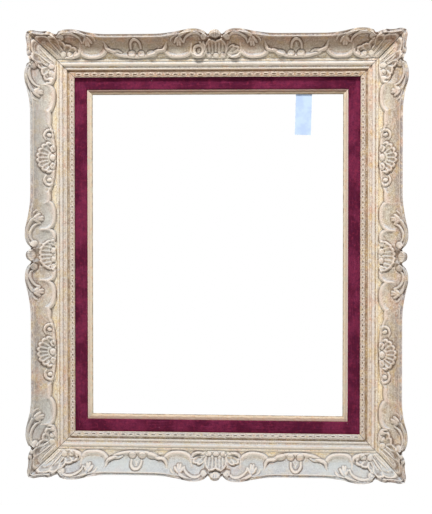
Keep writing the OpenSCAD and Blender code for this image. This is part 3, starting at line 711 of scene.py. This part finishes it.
def surface(side, seed):
    """Places of a rail's points, column by column, and what its paint needs to know of them."""
    half_len = SIDES[side][1]
    t0, h0, follow, carved = (ROWS[:, k][None, :] for k in range(4))
    u = np.linspace(-1, 1, COLUMNS[side] + 1)[:, None]
    t = t0 + 0 * u
    for _ in range(5):
        t = t0 - swing(half_len, u * (half_len - t - MITRE_GAP)) * follow
    s = u * (half_len - t - MITRE_GAP)
    bend = 0.5 * uneven(s, t, 14, seed + 4), 0.5 * uneven(s, t, 14, seed + 5)
    relief, ground, dish, lips = carve(s + bend[0], t + bend[1] * smooth(t, 2, 8), side)
    relief = 0.6 * relief + 0.4 * averaged(relief, 1)
    hand = 0.26 * uneven(s, t, 9, seed) + 0.12 * uneven(s, t, 3.2, seed + 1)
    punched = ground * 0.4 * uneven(s, t, 1.6, seed + 2)
    to_mitre = half_len - t - np.abs(s) - MITRE_GAP
    chipped = (0.25 + 0.25 * uneven(s, t, 2.5, seed + 3)) * (1 - smooth(to_mitre, 0, 0.8))
    height = h0 + carved * (relief + hand + punched - chipped + (t0 - t) * 0.12)
    height = np.minimum(height, HIGHEST)
    worn = (height - averaged(height, 2)) * 1.2 + (relief - averaged(relief, 4)) * 0.2
    hollow = (relief - averaged(relief, 9)) * 0.4
    marks = {
        "worn": np.clip(worn * carved, -1, 1), "hollow": np.clip(hollow * carved, -1, 1),
        "dish": dish * carved, "lips": lips * carved, "ground": ground * carved,
        "inward": t / RAIL_W + 0 * s, "mitre": 1 - smooth(to_mitre, 0.1, 0.9),
        "painted_shade": np.full_like(s, RAIL_PAINTED_SHADE[side]), "cool": np.full_like(s, COOL_SHARE[side]),
        "front": np.broadcast_to(follow + carved > 0.02, s.shape),
    }
    return s, t, height, marks


# %% Helpers for making pieces
def only(obj):
    """Makes the object the only one that the next operators act on."""
    bpy.ops.object.select_all(action="DESELECT")
    obj.select_set(True)
    bpy.context.view_layer.objects.active = obj


def new_grid(name, columns, rows):
    """A flat grid of one metre, and the places of its points."""
    bpy.ops.object.select_all(action="DESELECT")
    bpy.ops.mesh.primitive_grid_add(x_subdivisions=columns, y_subdivisions=rows, size=1)
    piece = bpy.context.object
    piece.name = name
    flat = np.empty(len(piece.data.vertices) * 3)
    piece.data.vertices.foreach_get("co", flat)
    return piece, flat.reshape(-1, 3)


def unroll(mesh, name, along, around):
    """Stores the millimetres along and around that each point lies at as the mesh's flat map."""
    corner = np.empty(len(mesh.loops), int)
    mesh.loops.foreach_get("vertex_index", corner)
    mesh.uv_layers[0].name = name
    places = np.stack((along[corner], around[corner]), axis=1) * MM
    mesh.uv_layers[0].data.foreach_set("uv", places.ravel())


def thicken(piece, thickness):
    """Gives a sheet its thickness, in millimetres, behind its face."""
    only(piece)
    sheet = piece.modifiers.new("sheet", "SOLIDIFY")
    sheet.thickness = thickness * MM
    sheet.offset = -1
    bpy.ops.object.modifier_apply(modifier="sheet")


def open_edit(piece):
    """Opens a piece in edit mode, with all of it selected."""
    only(piece)
    bpy.ops.object.mode_set(mode="EDIT")
    bpy.ops.mesh.select_all(action="SELECT")


def close_edit(smooth_angle):
    """Turns all faces outwards, leaves edit mode and shades smooth every edge up to the angle in degrees."""
    bpy.ops.mesh.select_all(action="SELECT")
    bpy.ops.mesh.normals_make_consistent(inside=False)
    bpy.ops.mesh.select_all(action="DESELECT")
    bpy.ops.object.mode_set(mode="OBJECT")
    bpy.ops.object.shade_smooth_by_angle(angle=math.radians(smooth_angle))


def hand_in(piece, node, body="frame"):
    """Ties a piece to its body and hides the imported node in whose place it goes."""
    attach(piece, body)
    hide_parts(node)


def dress(piece, finish):
    piece.data.materials.clear()
    piece.data.materials.append(finish)


def store(mesh, name, values):
    layer = mesh.attributes.new(name, "FLOAT", "POINT")
    layer.data.foreach_set("value", np.asarray(values, np.float32).ravel())


# %% Four carved rails
def fill_end(mesh, side, way):
    """Fills the open end of a rail that is being edited, on its mitre."""
    work = bmesh.from_edit_mesh(mesh)
    s_way = Vector(SIDES[side][2])
    for edge in work.edges:
        edge.select_set(edge.is_boundary and way * s_way.dot(edge.verts[0].co) > 0)
    bmesh.update_edit_mesh(mesh)
    bpy.ops.mesh.fill()


def carved_rail(side, seed):
    columns, rows = COLUMNS[side], len(ROWS)
    rail, flat = new_grid(side + "_carved_rail", columns, rows)
    mesh = rail.data
    i = np.rint((flat[:, 0] + 0.5) * columns).astype(int)
    j = np.rint((flat[:, 1] + 0.5) * rows).astype(int)
    k = j % rows
    s, t, h, marks = surface(side, seed)
    mesh.vertices.foreach_set("co", on_side(side, s[i, k], t[i, k], h[i, k]).ravel())
    for name, values in marks.items():
        store(mesh, name, values[i, k])
    steps = np.diff(np.vstack((ROWS, ROWS[:1]))[:, :2], axis=0)
    around = np.concatenate(([0], np.cumsum(np.hypot(*steps.T))))
    unroll(mesh, "along_the_rail", s[i, k], around[j])
    open_edit(rail)
    bpy.ops.mesh.remove_doubles(threshold=WELD)
    bpy.ops.mesh.select_all(action="DESELECT")
    bpy.ops.mesh.select_mode(type="EDGE")
    for way in (-1, 1):
        fill_end(mesh, side, way)
    close_edit(RAIL_SMOOTH)
    hand_in(rail, side + "_rail")
    print(rail.name, len(mesh.polygons), "faces, highest", round(h.max(), 1), "mm")
    return rail


rails = {side: carved_rail(side, RAIL_SEED + SEED_STEP * n) for n, side in enumerate(SIDES)}

# %% [markdown]
# ## Old whitewashed paint
# The wood was stained brown, washed over with cream and grey-green paint, wiped so that the brown stays in
# every cut, and rubbed back on the high edges until they show light. The quirk and the thin ridge beside it
# were gilded. Since then dust has settled on all that faces up, and a painted cool light lies there too.
# Faces that look down on the inner mouldings get painted light, and painted shade darkens the rim, the top
# of the cove and the leaf tips, most on the top rail. The wash has gone cool and grey mostly on the left and
# bottom rails. The mitres are darker along their line. The marks stored on the mesh tell the paint where a
# point lies: how far in from the edge, how worn or sunk it is, and whether it is on the front at all, because
# the back and the rebate stay bare wood.

# %% Colours across a rail
BANDS = (  # share of the rail's width in from the edge, and the paint's red, green and blue there
    (0.000, 158, 154, 164), (0.055, 164, 158, 166), (0.080, 150, 134, 126), (0.200, 176, 160, 148),
    (0.330, 212, 198, 182), (0.560, 226, 212, 192), (0.600, 250, 240, 214), (0.628, 240, 222, 192),
    (0.642, 196, 172, 140), (0.660, 230, 224, 218), (0.700, 224, 220, 226), (0.718, 216, 204, 198),
    (0.730, 204, 182, 160), (0.750, 228, 214, 202), (0.790, 230, 214, 200), (0.815, 196, 164, 128),
    (0.838, 206, 176, 122), (0.868, 206, 174, 124), (0.888, 166, 140, 112), (0.905, 224, 206, 194),
    (0.955, 222, 202, 192), (1.000, 210, 182, 174),
)
PAINTED_SHADE_ACROSS = (  # how much painted shade shows across the rail: most in the top of the cove and on the leaf tips
    (0.00, 0.5), (0.07, 0.5), (0.09, 1.0), (0.28, 0.8), (0.42, 0.0), (0.80, 0.0), (0.84, 1.0), (1.0, 1.0),
)
WIPED = (  # how much of the brown is left in the cuts, where the plain mouldings were wiped cleaner
    (0.00, 1.0), (0.59, 1.0), (0.61, 0.2), (0.80, 0.2), (0.825, 0.9), (1.0, 0.9),
)
# The first colour is dust, with painted cool light in it, for faces that look up; the last is the colour of
# the painted shade.
DUST_AND_COOL_LIGHT, COOL, PAINTED_SHADE_TONE = tone(160, 175, 189), tone(188, 196, 200), tone(206, 182, 162)
MARKS = ("worn", "hollow", "inward", "ground", "dish", "front", "mitre", "lips", "cool", "painted_shade")
print("colours across a rail:", len(BANDS))


# %% The carved rails' paint
def old_paint():
    n = Finish("whitewashed_carving")
    place = n.place()
    along = n.add("UVMap", {"uv_map": "along_the_rail"}).outputs[0]
    worn, hollow, inward, ground, dish, front, mitre, lips, cool, painted_shade = (n.mark(name) for name in MARKS)
    up = n.add("SeparateXYZ", _0=n.add("NewGeometry").outputs["Normal"]).outputs["Z"]
    wide = n.cloud(place, 11)
    patch = n.cloud(place, 48)
    other_patch = n.cloud(place, 70, Location=(3, 5, 7))
    spots = n.cloud(place, 210, 2, 0.5)
    other_spots = n.cloud(place, 240, 2, Location=(1, 2, 3))
    fine = n.cloud(place, 420, 4, 0.65)
    specks = n.cloud(place, 640, 2, 0.6)
    streak = n.cloud(along, 1.0, 4, 0.6, Scale=(14, 520, 1))
    colour = n.coats(
        n.ramp(inward, BANDS),
        (wide, 0.42, 0.62, 0.45, tone(208, 206, 192)),
        (patch, 0.50, 0.62, 0.7, tone(226, 178, 148)),
        (other_patch, 0.50, 0.62, 0.7, tone(220, 190, 122)),
        (spots, 0.52, 0.64, 0.6, tone(234, 224, 214)),
        (spots, 0.46, 0.30, 0.5, tone(170, 136, 104)),
        (other_spots, 0.54, 0.66, 0.5, tone(190, 186, 192)))
    for part, noise, limits, over in (
            (ground, patch, (0.35, 0.6, 0.3, 0.85), tone(248, 222, 164)),
            (lips, spots, (0.35, 0.6, 0.35, 0.8), tone(234, 210, 192)),
            (dish, wide, (0.3, 0.6, 0.1, 0.55), tone(198, 192, 168))):
        colour = n.blend(n.times(part, n.reach(noise, *limits)), colour, over)
    lifted = n.plus(hollow, n.reach(patch, 0.3, 0.7, -0.12, 0.12))
    browned = n.times(n.reach(lifted, -0.06, -0.6, 0, 0.6), n.reach(ground, 0.1, 0.9, 1.0, 0.1))
    pinked = n.times(n.reach(lifted, 0.12, 0.8, 0, 0.6), n.reach(inward, 0.02, 0.18, 0.15, 1.0))
    colour = n.blend(browned, colour, tone(140, 108, 84))
    # The last coat is dust and painted cool light on faces that look up: greyer and bluer where the surface
    # looks upwards.
    colour = n.coats(
        n.blend(pinked, colour, tone(230, 204, 190)),
        (streak, 0.45, 0.75, 0.5, tone(236, 226, 214)),
        (streak, 0.5, 0.25, 0.4, tone(168, 142, 116)),
        (specks, 0.52, 0.64, 0.7, tone(246, 238, 222)),
        (specks, 0.47, 0.34, 0.7, tone(158, 130, 104)),
        (up, 0.0, 0.5, 0.55, DUST_AND_COOL_LIGHT))
    # Painted light: faces that look down, most on the inner half of the rail, are lightened towards a warm
    # near white.
    painted_light_below = n.times(n.reach(up, -0.05, -0.3, 0, 0.85), n.reach(inward, 0.3, 0.5, 0.1, 1.0))
    colour = n.blend(painted_light_below, colour, tone(255, 246, 230))
    cooled = n.times(cool, n.reach(wide, 0.36, 0.62, 0.1, 0.55), n.reach(inward, 0.3, 0.6, 1.0, 0.4))
    colour = n.blend(cooled, colour, COOL)
    # Painted shade: the rim, the top of the cove and the leaf tips are darkened, most on the top rail.
    colour = n.blend(n.times(painted_shade, n.ramp(inward, PAINTED_SHADE_ACROSS)), colour, PAINTED_SHADE_TONE, "MULTIPLY")
    uneven_worn = n.plus(worn, n.reach(fine, 0.3, 0.7, -0.26, 0.26))
    sunk = n.times(n.reach(uneven_worn, -0.12, -0.75, 0, 0.72), n.reach(other_patch, 0.62, 0.38, 0.45, 1.0),
                   n.ramp(inward, WIPED), n.reach(ground, 0.3, 1.0, 1.0, 0.2))
    colour = n.blend(sunk, colour, tone(108, 80, 54))
    colour = n.coats(colour, (uneven_worn, 0.10, 0.5, 0.5, tone(236, 222, 206)))
    # Darker along the mitres, more on their inner half.
    mitre_darkening = n.times(mitre, n.reach(inward, 0.45, 0.62, 0.3, 0.75))
    colour = n.blend(mitre_darkening, colour, tone(96, 76, 60))
    grain = n.cloud(along, 1.0, 5, 0.6, Scale=(9, 260, 1))
    bare = n.blend(grain, tone(150, 112, 74), tone(96, 66, 42))
    height = n.plus(n.times(fine, 0.6), n.times(streak, 0.5))
    return n.finished(n.blend(front, bare, colour), n.reach(fine, 0.3, 0.7, 0.5, 0.78), height, 0.45, 0.0006)


paint = old_paint()
for rail in rails.values():
    dress(rail, paint)
print(paint.name, "has", len(paint.node_tree.nodes), "nodes")

# %% [markdown]
# ## Velvet over the liner
# The liner between the carving and the slip is a flat wooden strip with cotton velvet stretched over its
# face. Each side's velvet is cut with mitred ends, tucked under the rail's lip and rolled down at its inner
# edge. A grid is laid over that profile, given a barely padded face, and thickened to the cloth and its
# thin backing.

# %% Velvet strips
VELVET_GAP, CLOTH, PADDING = 0.06, 0.9, 0.07
VELVET_COLUMNS, VELVET_ROWS = 260, 30
VELVET_PROFILE = np.array(((59.3, 13.75), (66.4, 13.8), (68.5, 14.1), (76.0, 14.35), (83.0, 14.2),
                           (84.5, 13.95), (85.2, 13.5), (85.42, 12.95)))
FIRST_VELVET_SEED = 100
SHEET_SMOOTH = 50


def velvet_strip(side, seed):
    half_len = SIDES[side][1]
    strip, flat = new_grid(side + "_velvet_strip", VELVET_COLUMNS, VELVET_ROWS)
    u, v = flat[:, 0] * 2, np.clip(flat[:, 1] + 0.5, 0, 1)
    run = np.concatenate(([0], np.cumsum(np.hypot(*np.diff(VELVET_PROFILE, axis=0).T))))
    t, h = (np.interp(v * run[-1], run, VELVET_PROFILE[:, k]) for k in (0, 1))
    s = u * (half_len - t - VELVET_GAP)
    h = h + PADDING * uneven(s, t, 11, seed) * smooth(t, 66.5, 70) * (1 - smooth(t, 82, 84.5))
    strip.data.vertices.foreach_set("co", on_side(side, s, t, h).ravel())
    unroll(strip.data, "along_the_nap", s, t)
    thicken(strip, CLOTH)
    bpy.ops.object.shade_smooth_by_angle(angle=math.radians(SHEET_SMOOTH))
    hand_in(strip, side + "_velvet")
    return strip


velvets = {side: velvet_strip(side, FIRST_VELVET_SEED + n) for n, side in enumerate(SIDES)}

# %% [markdown]
# ## Velvet as a finish
# Velvet is a short dense pile. It looks darkest where the eye looks straight down into it and lighter where
# the pile leans or is seen from the side, so the finish needs a sheen, patches where the pile was stroked
# another way, and the pale lint that always clings to it.

# %% Velvet finish
def velvet_finish():
    n = Finish("burgundy_velvet")
    place = n.place()
    nap = n.add("UVMap", {"uv_map": "along_the_nap"}).outputs[0]
    pile = n.cloud(nap, 620, 3, 0.7)
    tufts = n.cloud(place, 230, 3, 0.6)
    lines = n.cloud(nap, 1.0, 3, 0.55, Scale=(40, 420, 1))
    threads = n.add("TexVoronoi", {"feature": "F1"}, Vector=place, Scale=95).outputs["Distance"]
    lint = n.times(n.reach(n.cloud(place, 60, 2), 0.60, 0.68), n.reach(threads, 0.10, 0.04))
    colour = n.coats(
        tone(88, 21, 49),
        (n.cloud(place, 26, 3, 0.6), 0.42, 0.60, 0.9, tone(122, 40, 72)),
        (lines, 0.50, 0.76, 0.6, tone(142, 56, 92)),
        (pile, 0.56, 0.32, 0.6, tone(66, 12, 36)),
        (tufts, 0.54, 0.70, 0.5, tone(144, 46, 74)),
        (tufts, 0.46, 0.32, 0.55, tone(74, 20, 52)))
    colour = n.blend(lint, colour, tone(176, 128, 142))
    return n.finished(colour, 0.95, n.plus(pile, n.times(lines, 0.6)), 0.5, 0.0004, Specular_IOR_Level=0.15,
                      Sheen_Weight=0.35, Sheen_Roughness=0.35, Sheen_Tint=tone(190, 90, 120))


velvet = velvet_finish()
for strip in velvets.values():
    dress(strip, velvet)
print(velvet.name, "is on", len(velvets), "strips")

# %% [markdown]
# ## The painted slip
# A slip is a slim moulding next to the picture: a narrow land by the velvet, then a bevel down to the sight
# edge. Its section is drawn as a flat face on one mitre and extruded to the other, and its long edges are
# rounded as several coats of paint round them.

# %% Slips
SLIP_SECTION = np.array(((85.6, 7.9), (93.5, 7.9), (93.5, 9.3), (92.3, 9.95), (91.9, 10.35), (88.1, 12.05),
                         (87.7, 12.6), (85.6, 12.7)))
SLIP_WIDE, SLIP_GAP, SLIP_ROUNDING, SLIP_STEPS = 7.9, 0.05, 0.18, 24
EDGE_SMOOTH, LONG_EDGE = 35, 0.3
# How strong the painted shade on each side's slip is.
SLIP_PAINTED_SHADE = {"top": 0.85, "bottom": 0.75, "left": 0.0, "right": 0.2}


def painted_slip(side):
    """A stick of the slip's section, cut to the mitres of its side."""
    reach, half_len, s_way, _ = SIDES[side]
    t, h = SLIP_SECTION.T
    near, far = (on_side(side, way * (half_len - t - SLIP_GAP), t, h) for way in (-1, 1))
    bpy.ops.object.select_all(action="DESELECT")
    bpy.ops.mesh.primitive_circle_add(vertices=len(SLIP_SECTION), radius=0.01, fill_type="NGON")
    slip = bpy.context.object
    slip.name = side + "_painted_slip"
    mesh = slip.data
    mesh.vertices.foreach_set("co", near.ravel())
    open_edit(slip)
    bpy.ops.mesh.extrude_region_move(TRANSFORM_OT_translate={"value": (0, 0, 0.01)})
    bpy.ops.object.mode_set(mode="OBJECT")
    for vertex, place in zip([v for v in mesh.vertices if v.select], far):
        vertex.co = place
    open_edit(slip)
    bpy.ops.mesh.normals_make_consistent(inside=False)
    bpy.ops.mesh.bevel(offset=SLIP_ROUNDING * MM, segments=2, affect="EDGES")
    work = bmesh.from_edit_mesh(mesh)
    for edge in work.edges:
        way = edge.verts[1].co - edge.verts[0].co
        edge.select_set(abs(way.dot(Vector(s_way))) > LONG_EDGE)
    bmesh.update_edit_mesh(mesh)
    bpy.ops.mesh.subdivide(number_cuts=SLIP_STEPS)
    bpy.ops.object.mode_set(mode="OBJECT")
    bpy.ops.object.shade_smooth_by_angle(angle=math.radians(EDGE_SMOOTH))
    places = np.array([v.co for v in mesh.vertices]) / MM
    inwards = reach - np.abs(places[:, 2 if side in ("top", "bottom") else 0])
    store(mesh, "painted_shade", np.full(len(places), SLIP_PAINTED_SHADE[side]))
    store(mesh, "across", (inwards - SLIP_SECTION[0][0]) / SLIP_WIDE)
    hand_in(slip, side + "_slip")
    return slip


slips = {side: painted_slip(side) for side in SIDES}
print("slips:", [len(slip.data.polygons) for slip in slips.values()], "faces")


# %% Slip paint
SLIP_BANDS = (  # share of the slip's width in from the velvet, and the paint's red, green and blue there
    (0.00, 220, 200, 186), (0.24, 216, 196, 180), (0.30, 214, 194, 176), (0.55, 226, 210, 188),
    (0.82, 228, 214, 190), (0.90, 166, 146, 118), (1.00, 112, 94, 74),
)
SLIP_SHADE = (  # painted shade over the land, darkest where it steps down to the bevel
    (0.00, 208, 188, 190), (0.22, 190, 166, 160), (0.30, 138, 104, 86), (0.48, 150, 120, 98),
    (0.62, 226, 214, 200), (1.00, 220, 206, 196),
)


def slip_paint():
    n = Finish("cream_slip_paint")
    place = n.place()
    fine = n.cloud(place, 520, 4, 0.65)
    across = n.plus(n.mark("across"), n.reach(n.cloud(place, 90, 3), 0.3, 0.7, -0.05, 0.05))
    colour = n.coats(
        n.ramp(across, SLIP_BANDS),
        (n.cloud(place, 70), 0.52, 0.68, 0.6, tone(204, 198, 178)),
        (n.cloud(place, 210, 2), 0.54, 0.68, 0.5, tone(222, 182, 146)),
        (fine, 0.56, 0.74, 0.5, tone(160, 134, 110)))
    # Painted shade over the land and at its step down to the bevel, strongest on the top and bottom slips.
    colour = n.blend(n.mark("painted_shade"), colour, n.ramp(across, SLIP_SHADE), "MULTIPLY")
    return n.finished(colour, n.reach(fine, 0.3, 0.7, 0.42, 0.66), fine, 0.35, 0.0004)


slip_finish = slip_paint()
for slip in slips.values():
    dress(slip, slip_finish)
print(slip_finish.name, "is on", len(slips), "slips")

# %% [markdown]
# ## Metal parts and keys
# The clips are folded from strip, the turn buttons and hanger plates are stamped from sheet brass, the
# rings are bent from wire, and the corner keys are sawn from beech. Their shapes are already right in the
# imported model, but tools never leave an edge razor sharp. Each gets a copy here whose loose triangles are
# joined up and whose sharp edges are rounded a little, which is what makes a highlight run along them.

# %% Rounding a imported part
SHARP, FLAT, JOIN = 40, 0.5, 2e-6
made = {}


def soften(node, rounding, body="frame"):
    """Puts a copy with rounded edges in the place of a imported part."""
    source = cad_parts[node]
    piece = bpy.data.objects.new(node + "_made", source.data.copy())
    bpy.context.scene.collection.objects.link(piece)
    piece.data.transform(source.matrix_world)
    open_edit(piece)
    bpy.ops.mesh.remove_doubles(threshold=JOIN)
    bpy.ops.mesh.dissolve_limited(angle_limit=math.radians(FLAT))
    bpy.ops.mesh.select_all(action="DESELECT")
    bpy.ops.mesh.select_mode(type="EDGE")
    bpy.ops.mesh.edges_select_sharp(sharpness=math.radians(SHARP))
    bpy.ops.mesh.bevel(offset=rounding * MM, segments=2, affect="EDGES", clamp_overlap=True)
    bpy.ops.mesh.select_all(action="SELECT")
    bpy.ops.mesh.remove_doubles(threshold=JOIN)
    close_edit(EDGE_SMOOTH)
    hand_in(piece, node, body)
    made[node] = piece


# %% Clips, plates, rings, buttons, screws and keys
soften("liner_clips", 0.22)
for side in ("left", "right"):
    soften(side + "_hanger_plate", 0.18)
    soften(side + "_hanger_ring", 0.1, side + "_hanger_ring")
for place in ("top", "bottom", "left_upper", "left_lower", "right_upper", "right_lower"):
    soften(place + "_button", 0.28, place + "_button")
for part, slot in (("clip", "screw_steel"), ("hanger", "hanger_brass"), ("button", "button_brass")):
    soften(part + "_screws", 0.12)
for corner in ("top_left", "top_right", "bottom_left", "bottom_right"):
    soften(corner + "_key", 0.35)
print({name: len(piece.data.polygons) for name, piece in made.items()})

# %% [markdown]
# ## The paper strip
# A narrow strip of pale paper hangs behind the top slip and down into the opening, a little out of plumb. A
# strip cut from a roll keeps some of its curl, so a grid as large as the strip is bent forwards towards its
# lower end, waved slightly across, and thickened to paper.

# %% Paper strip
TAG_X, TAG_TOP, TAG_BACK, TAG_LEAN = 136.0, 257.0, 7.78, 1.5
TAG_WIDE, TAG_LONG, TAG_THICK, TAG_CURL, TAG_WAVE = 25.0, 69.0, 0.24, 1.7, 0.25
TAG_COLUMNS, TAG_ROWS = 16, 48


def paper_strip():
    strip, flat = new_grid("paper_strip", TAG_COLUMNS, TAG_ROWS)
    across, down = flat[:, 0] * TAG_WIDE, (0.5 - flat[:, 1]) * TAG_LONG
    c, n = math.cos(math.radians(TAG_LEAN)), math.sin(math.radians(TAG_LEAN))
    wave = TAG_WAVE * smooth(down, 10, 40) * np.sin(across / 7.0 + down / 16.0)
    curl = TAG_CURL * smooth(down, 12, 90) + wave
    places = (TAG_X + across * c - down * n, -(TAG_BACK + curl), TAG_TOP - down * c - across * n)
    strip.data.vertices.foreach_set("co", (np.stack(places, axis=1) * MM).ravel())
    thicken(strip, TAG_THICK)
    open_edit(strip)
    close_edit(SHEET_SMOOTH)
    hand_in(strip, "paper_tag")
    print(strip.name, "curls", round(curl.max(), 2), "mm forwards")
    return strip


made["paper_tag"] = paper_strip()

# %% [markdown]
# ## Bare wood, steel and brass
# The liner's core and the backs of the rails are pine that has darkened with age, and the keys are beech.
# The clips and their screws are zinc-plated steel, and the hangers, rings and turn buttons are brass that
# has dulled. Wood grain and tarnish are each one effect for several finishes, so they are built once as
# node groups.

# %% Node groups for grain and tarnish
def new_group(name, inputs, outputs):
    """The nodes of a group with the named sockets, what it is given and what it gives back."""
    group = bpy.data.node_groups.new(name, "ShaderNodeTree")
    for way, sockets in (("INPUT", inputs), ("OUTPUT", outputs)):
        for socket, kind in sockets.items():
            group.interface.new_socket(socket, in_out=way, socket_type="NodeSocket" + kind)
    return Nodes(group), group.nodes.new("NodeGroupInput").outputs, group.nodes.new("NodeGroupOutput").inputs


def wood_grain():
    n, given, out = new_group("wood_grain", {"Place": "Vector", "Light": "Color", "Dark": "Color"},
                              {"Colour": "Color", "Height": "Float"})
    lines = n.cloud(given["Place"], 1.0, 5, 0.62, Scale=(260, 260, 7))
    rings = n.cloud(given["Place"], 1.0, 2, 0.5, Scale=(60, 60, 3))
    stains = n.cloud(given["Place"], 22, 4)
    n.put(out["Height"], lines)
    n.put(out["Colour"], n.coats(
        given["Light"],
        (rings, 0.35, 0.65, 1.0, given["Dark"]),
        (lines, 0.52, 0.72, 0.75, given["Dark"]),
        (stains, 0.52, 0.74, 0.45, tone(92, 70, 48))))
    return n.tree


def tarnish():
    n, given, out = new_group(
        "tarnish", {"Place": "Vector", "Bright": "Color", "Dull": "Color", "Amount": "Float"},
        {"Colour": "Color", "Roughness": "Float", "Height": "Float"})
    bloom = n.cloud(given["Place"], 260, 5, 0.62)
    scratch = n.cloud(given["Place"], 1.0, 3, 0.6, Scale=(2600, 500, 240))
    share = n.times(n.reach(bloom, 0.38, 0.66), given["Amount"])
    n.put(out["Colour"], n.blend(share, given["Bright"], given["Dull"]))
    n.put(out["Roughness"], n.reach(n.plus(bloom, n.times(scratch, 0.3)), 0.4, 0.9, 0.24, 0.6))
    n.put(out["Height"], n.plus(bloom, scratch))
    return n.tree


GRAIN, TARNISH = wood_grain(), tarnish()
print("groups:", GRAIN.name, TARNISH.name)


# %% Finishes of the parts behind
def wood_finish(name, light, dark, turn=(0, 0, 0)):
    n = Finish(name)
    place = n.add("Mapping", Vector=n.place(), Rotation=turn).outputs[0]
    grain = n.add("Group", {"node_tree": GRAIN}, Place=place, Light=light, Dark=dark).outputs
    return n.finished(grain["Colour"], 0.72, grain["Height"], 0.4, 0.0005)


def metal_finish(name, bright, dull, amount):
    n = Finish(name)
    worn = n.add("Group", {"node_tree": TARNISH}, Place=n.place(), Bright=bright, Dull=dull,
                 Amount=amount).outputs
    return n.finished(worn["Colour"], worn["Roughness"], worn["Height"], 0.15, 0.0002, Metallic=1.0)


def paper_finish():
    n = Finish("blue_white_paper")
    place = n.place()
    fibre = n.cloud(place, 1400, 4, 0.7)
    colour = n.coats(
        tone(198, 220, 248),
        (n.cloud(place, 70, 2), 0.4, 0.65, 1.0, tone(186, 208, 242)),
        (fibre, 0.55, 0.75, 0.4, tone(228, 238, 252)))
    return n.finished(colour, 0.7, fibre, 0.25, 0.0002)


BRASS_ENDS = ("_plate", "_ring", "_button")
ALONG_X = (0, math.radians(90), 0)
PINE = tone(206, 168, 120), tone(168, 122, 78)
NODE_FINISHES = (
    (wood_finish("pine_across", *PINE, ALONG_X), ("top_liner", "bottom_liner")),
    (wood_finish("pine_upright", *PINE), ("left_liner", "right_liner")),
    (wood_finish("beech_keys", tone(196, 150, 104), tone(158, 110, 70), ALONG_X),
     [name for name in made if name.endswith("_key")]),
    (metal_finish("zinc_plated_steel", tone(196, 198, 202), tone(128, 126, 122), 0.8),
     ("liner_clips", "clip_screws")),
    (metal_finish("dulled_brass", tone(214, 178, 104), tone(122, 92, 50), 0.85),
     ["hanger_screws", "button_screws", *(name for name in made if name.endswith(BRASS_ENDS))]),
    (paper_finish(), ("paper_tag",)),
)
for finish, names in NODE_FINISHES:
    for name in names:
        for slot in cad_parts[name].material_slots:
            slot.material = finish
        if name in made:
            dress(made[name], finish)
    print(finish.name, "is on", len(names), "parts")
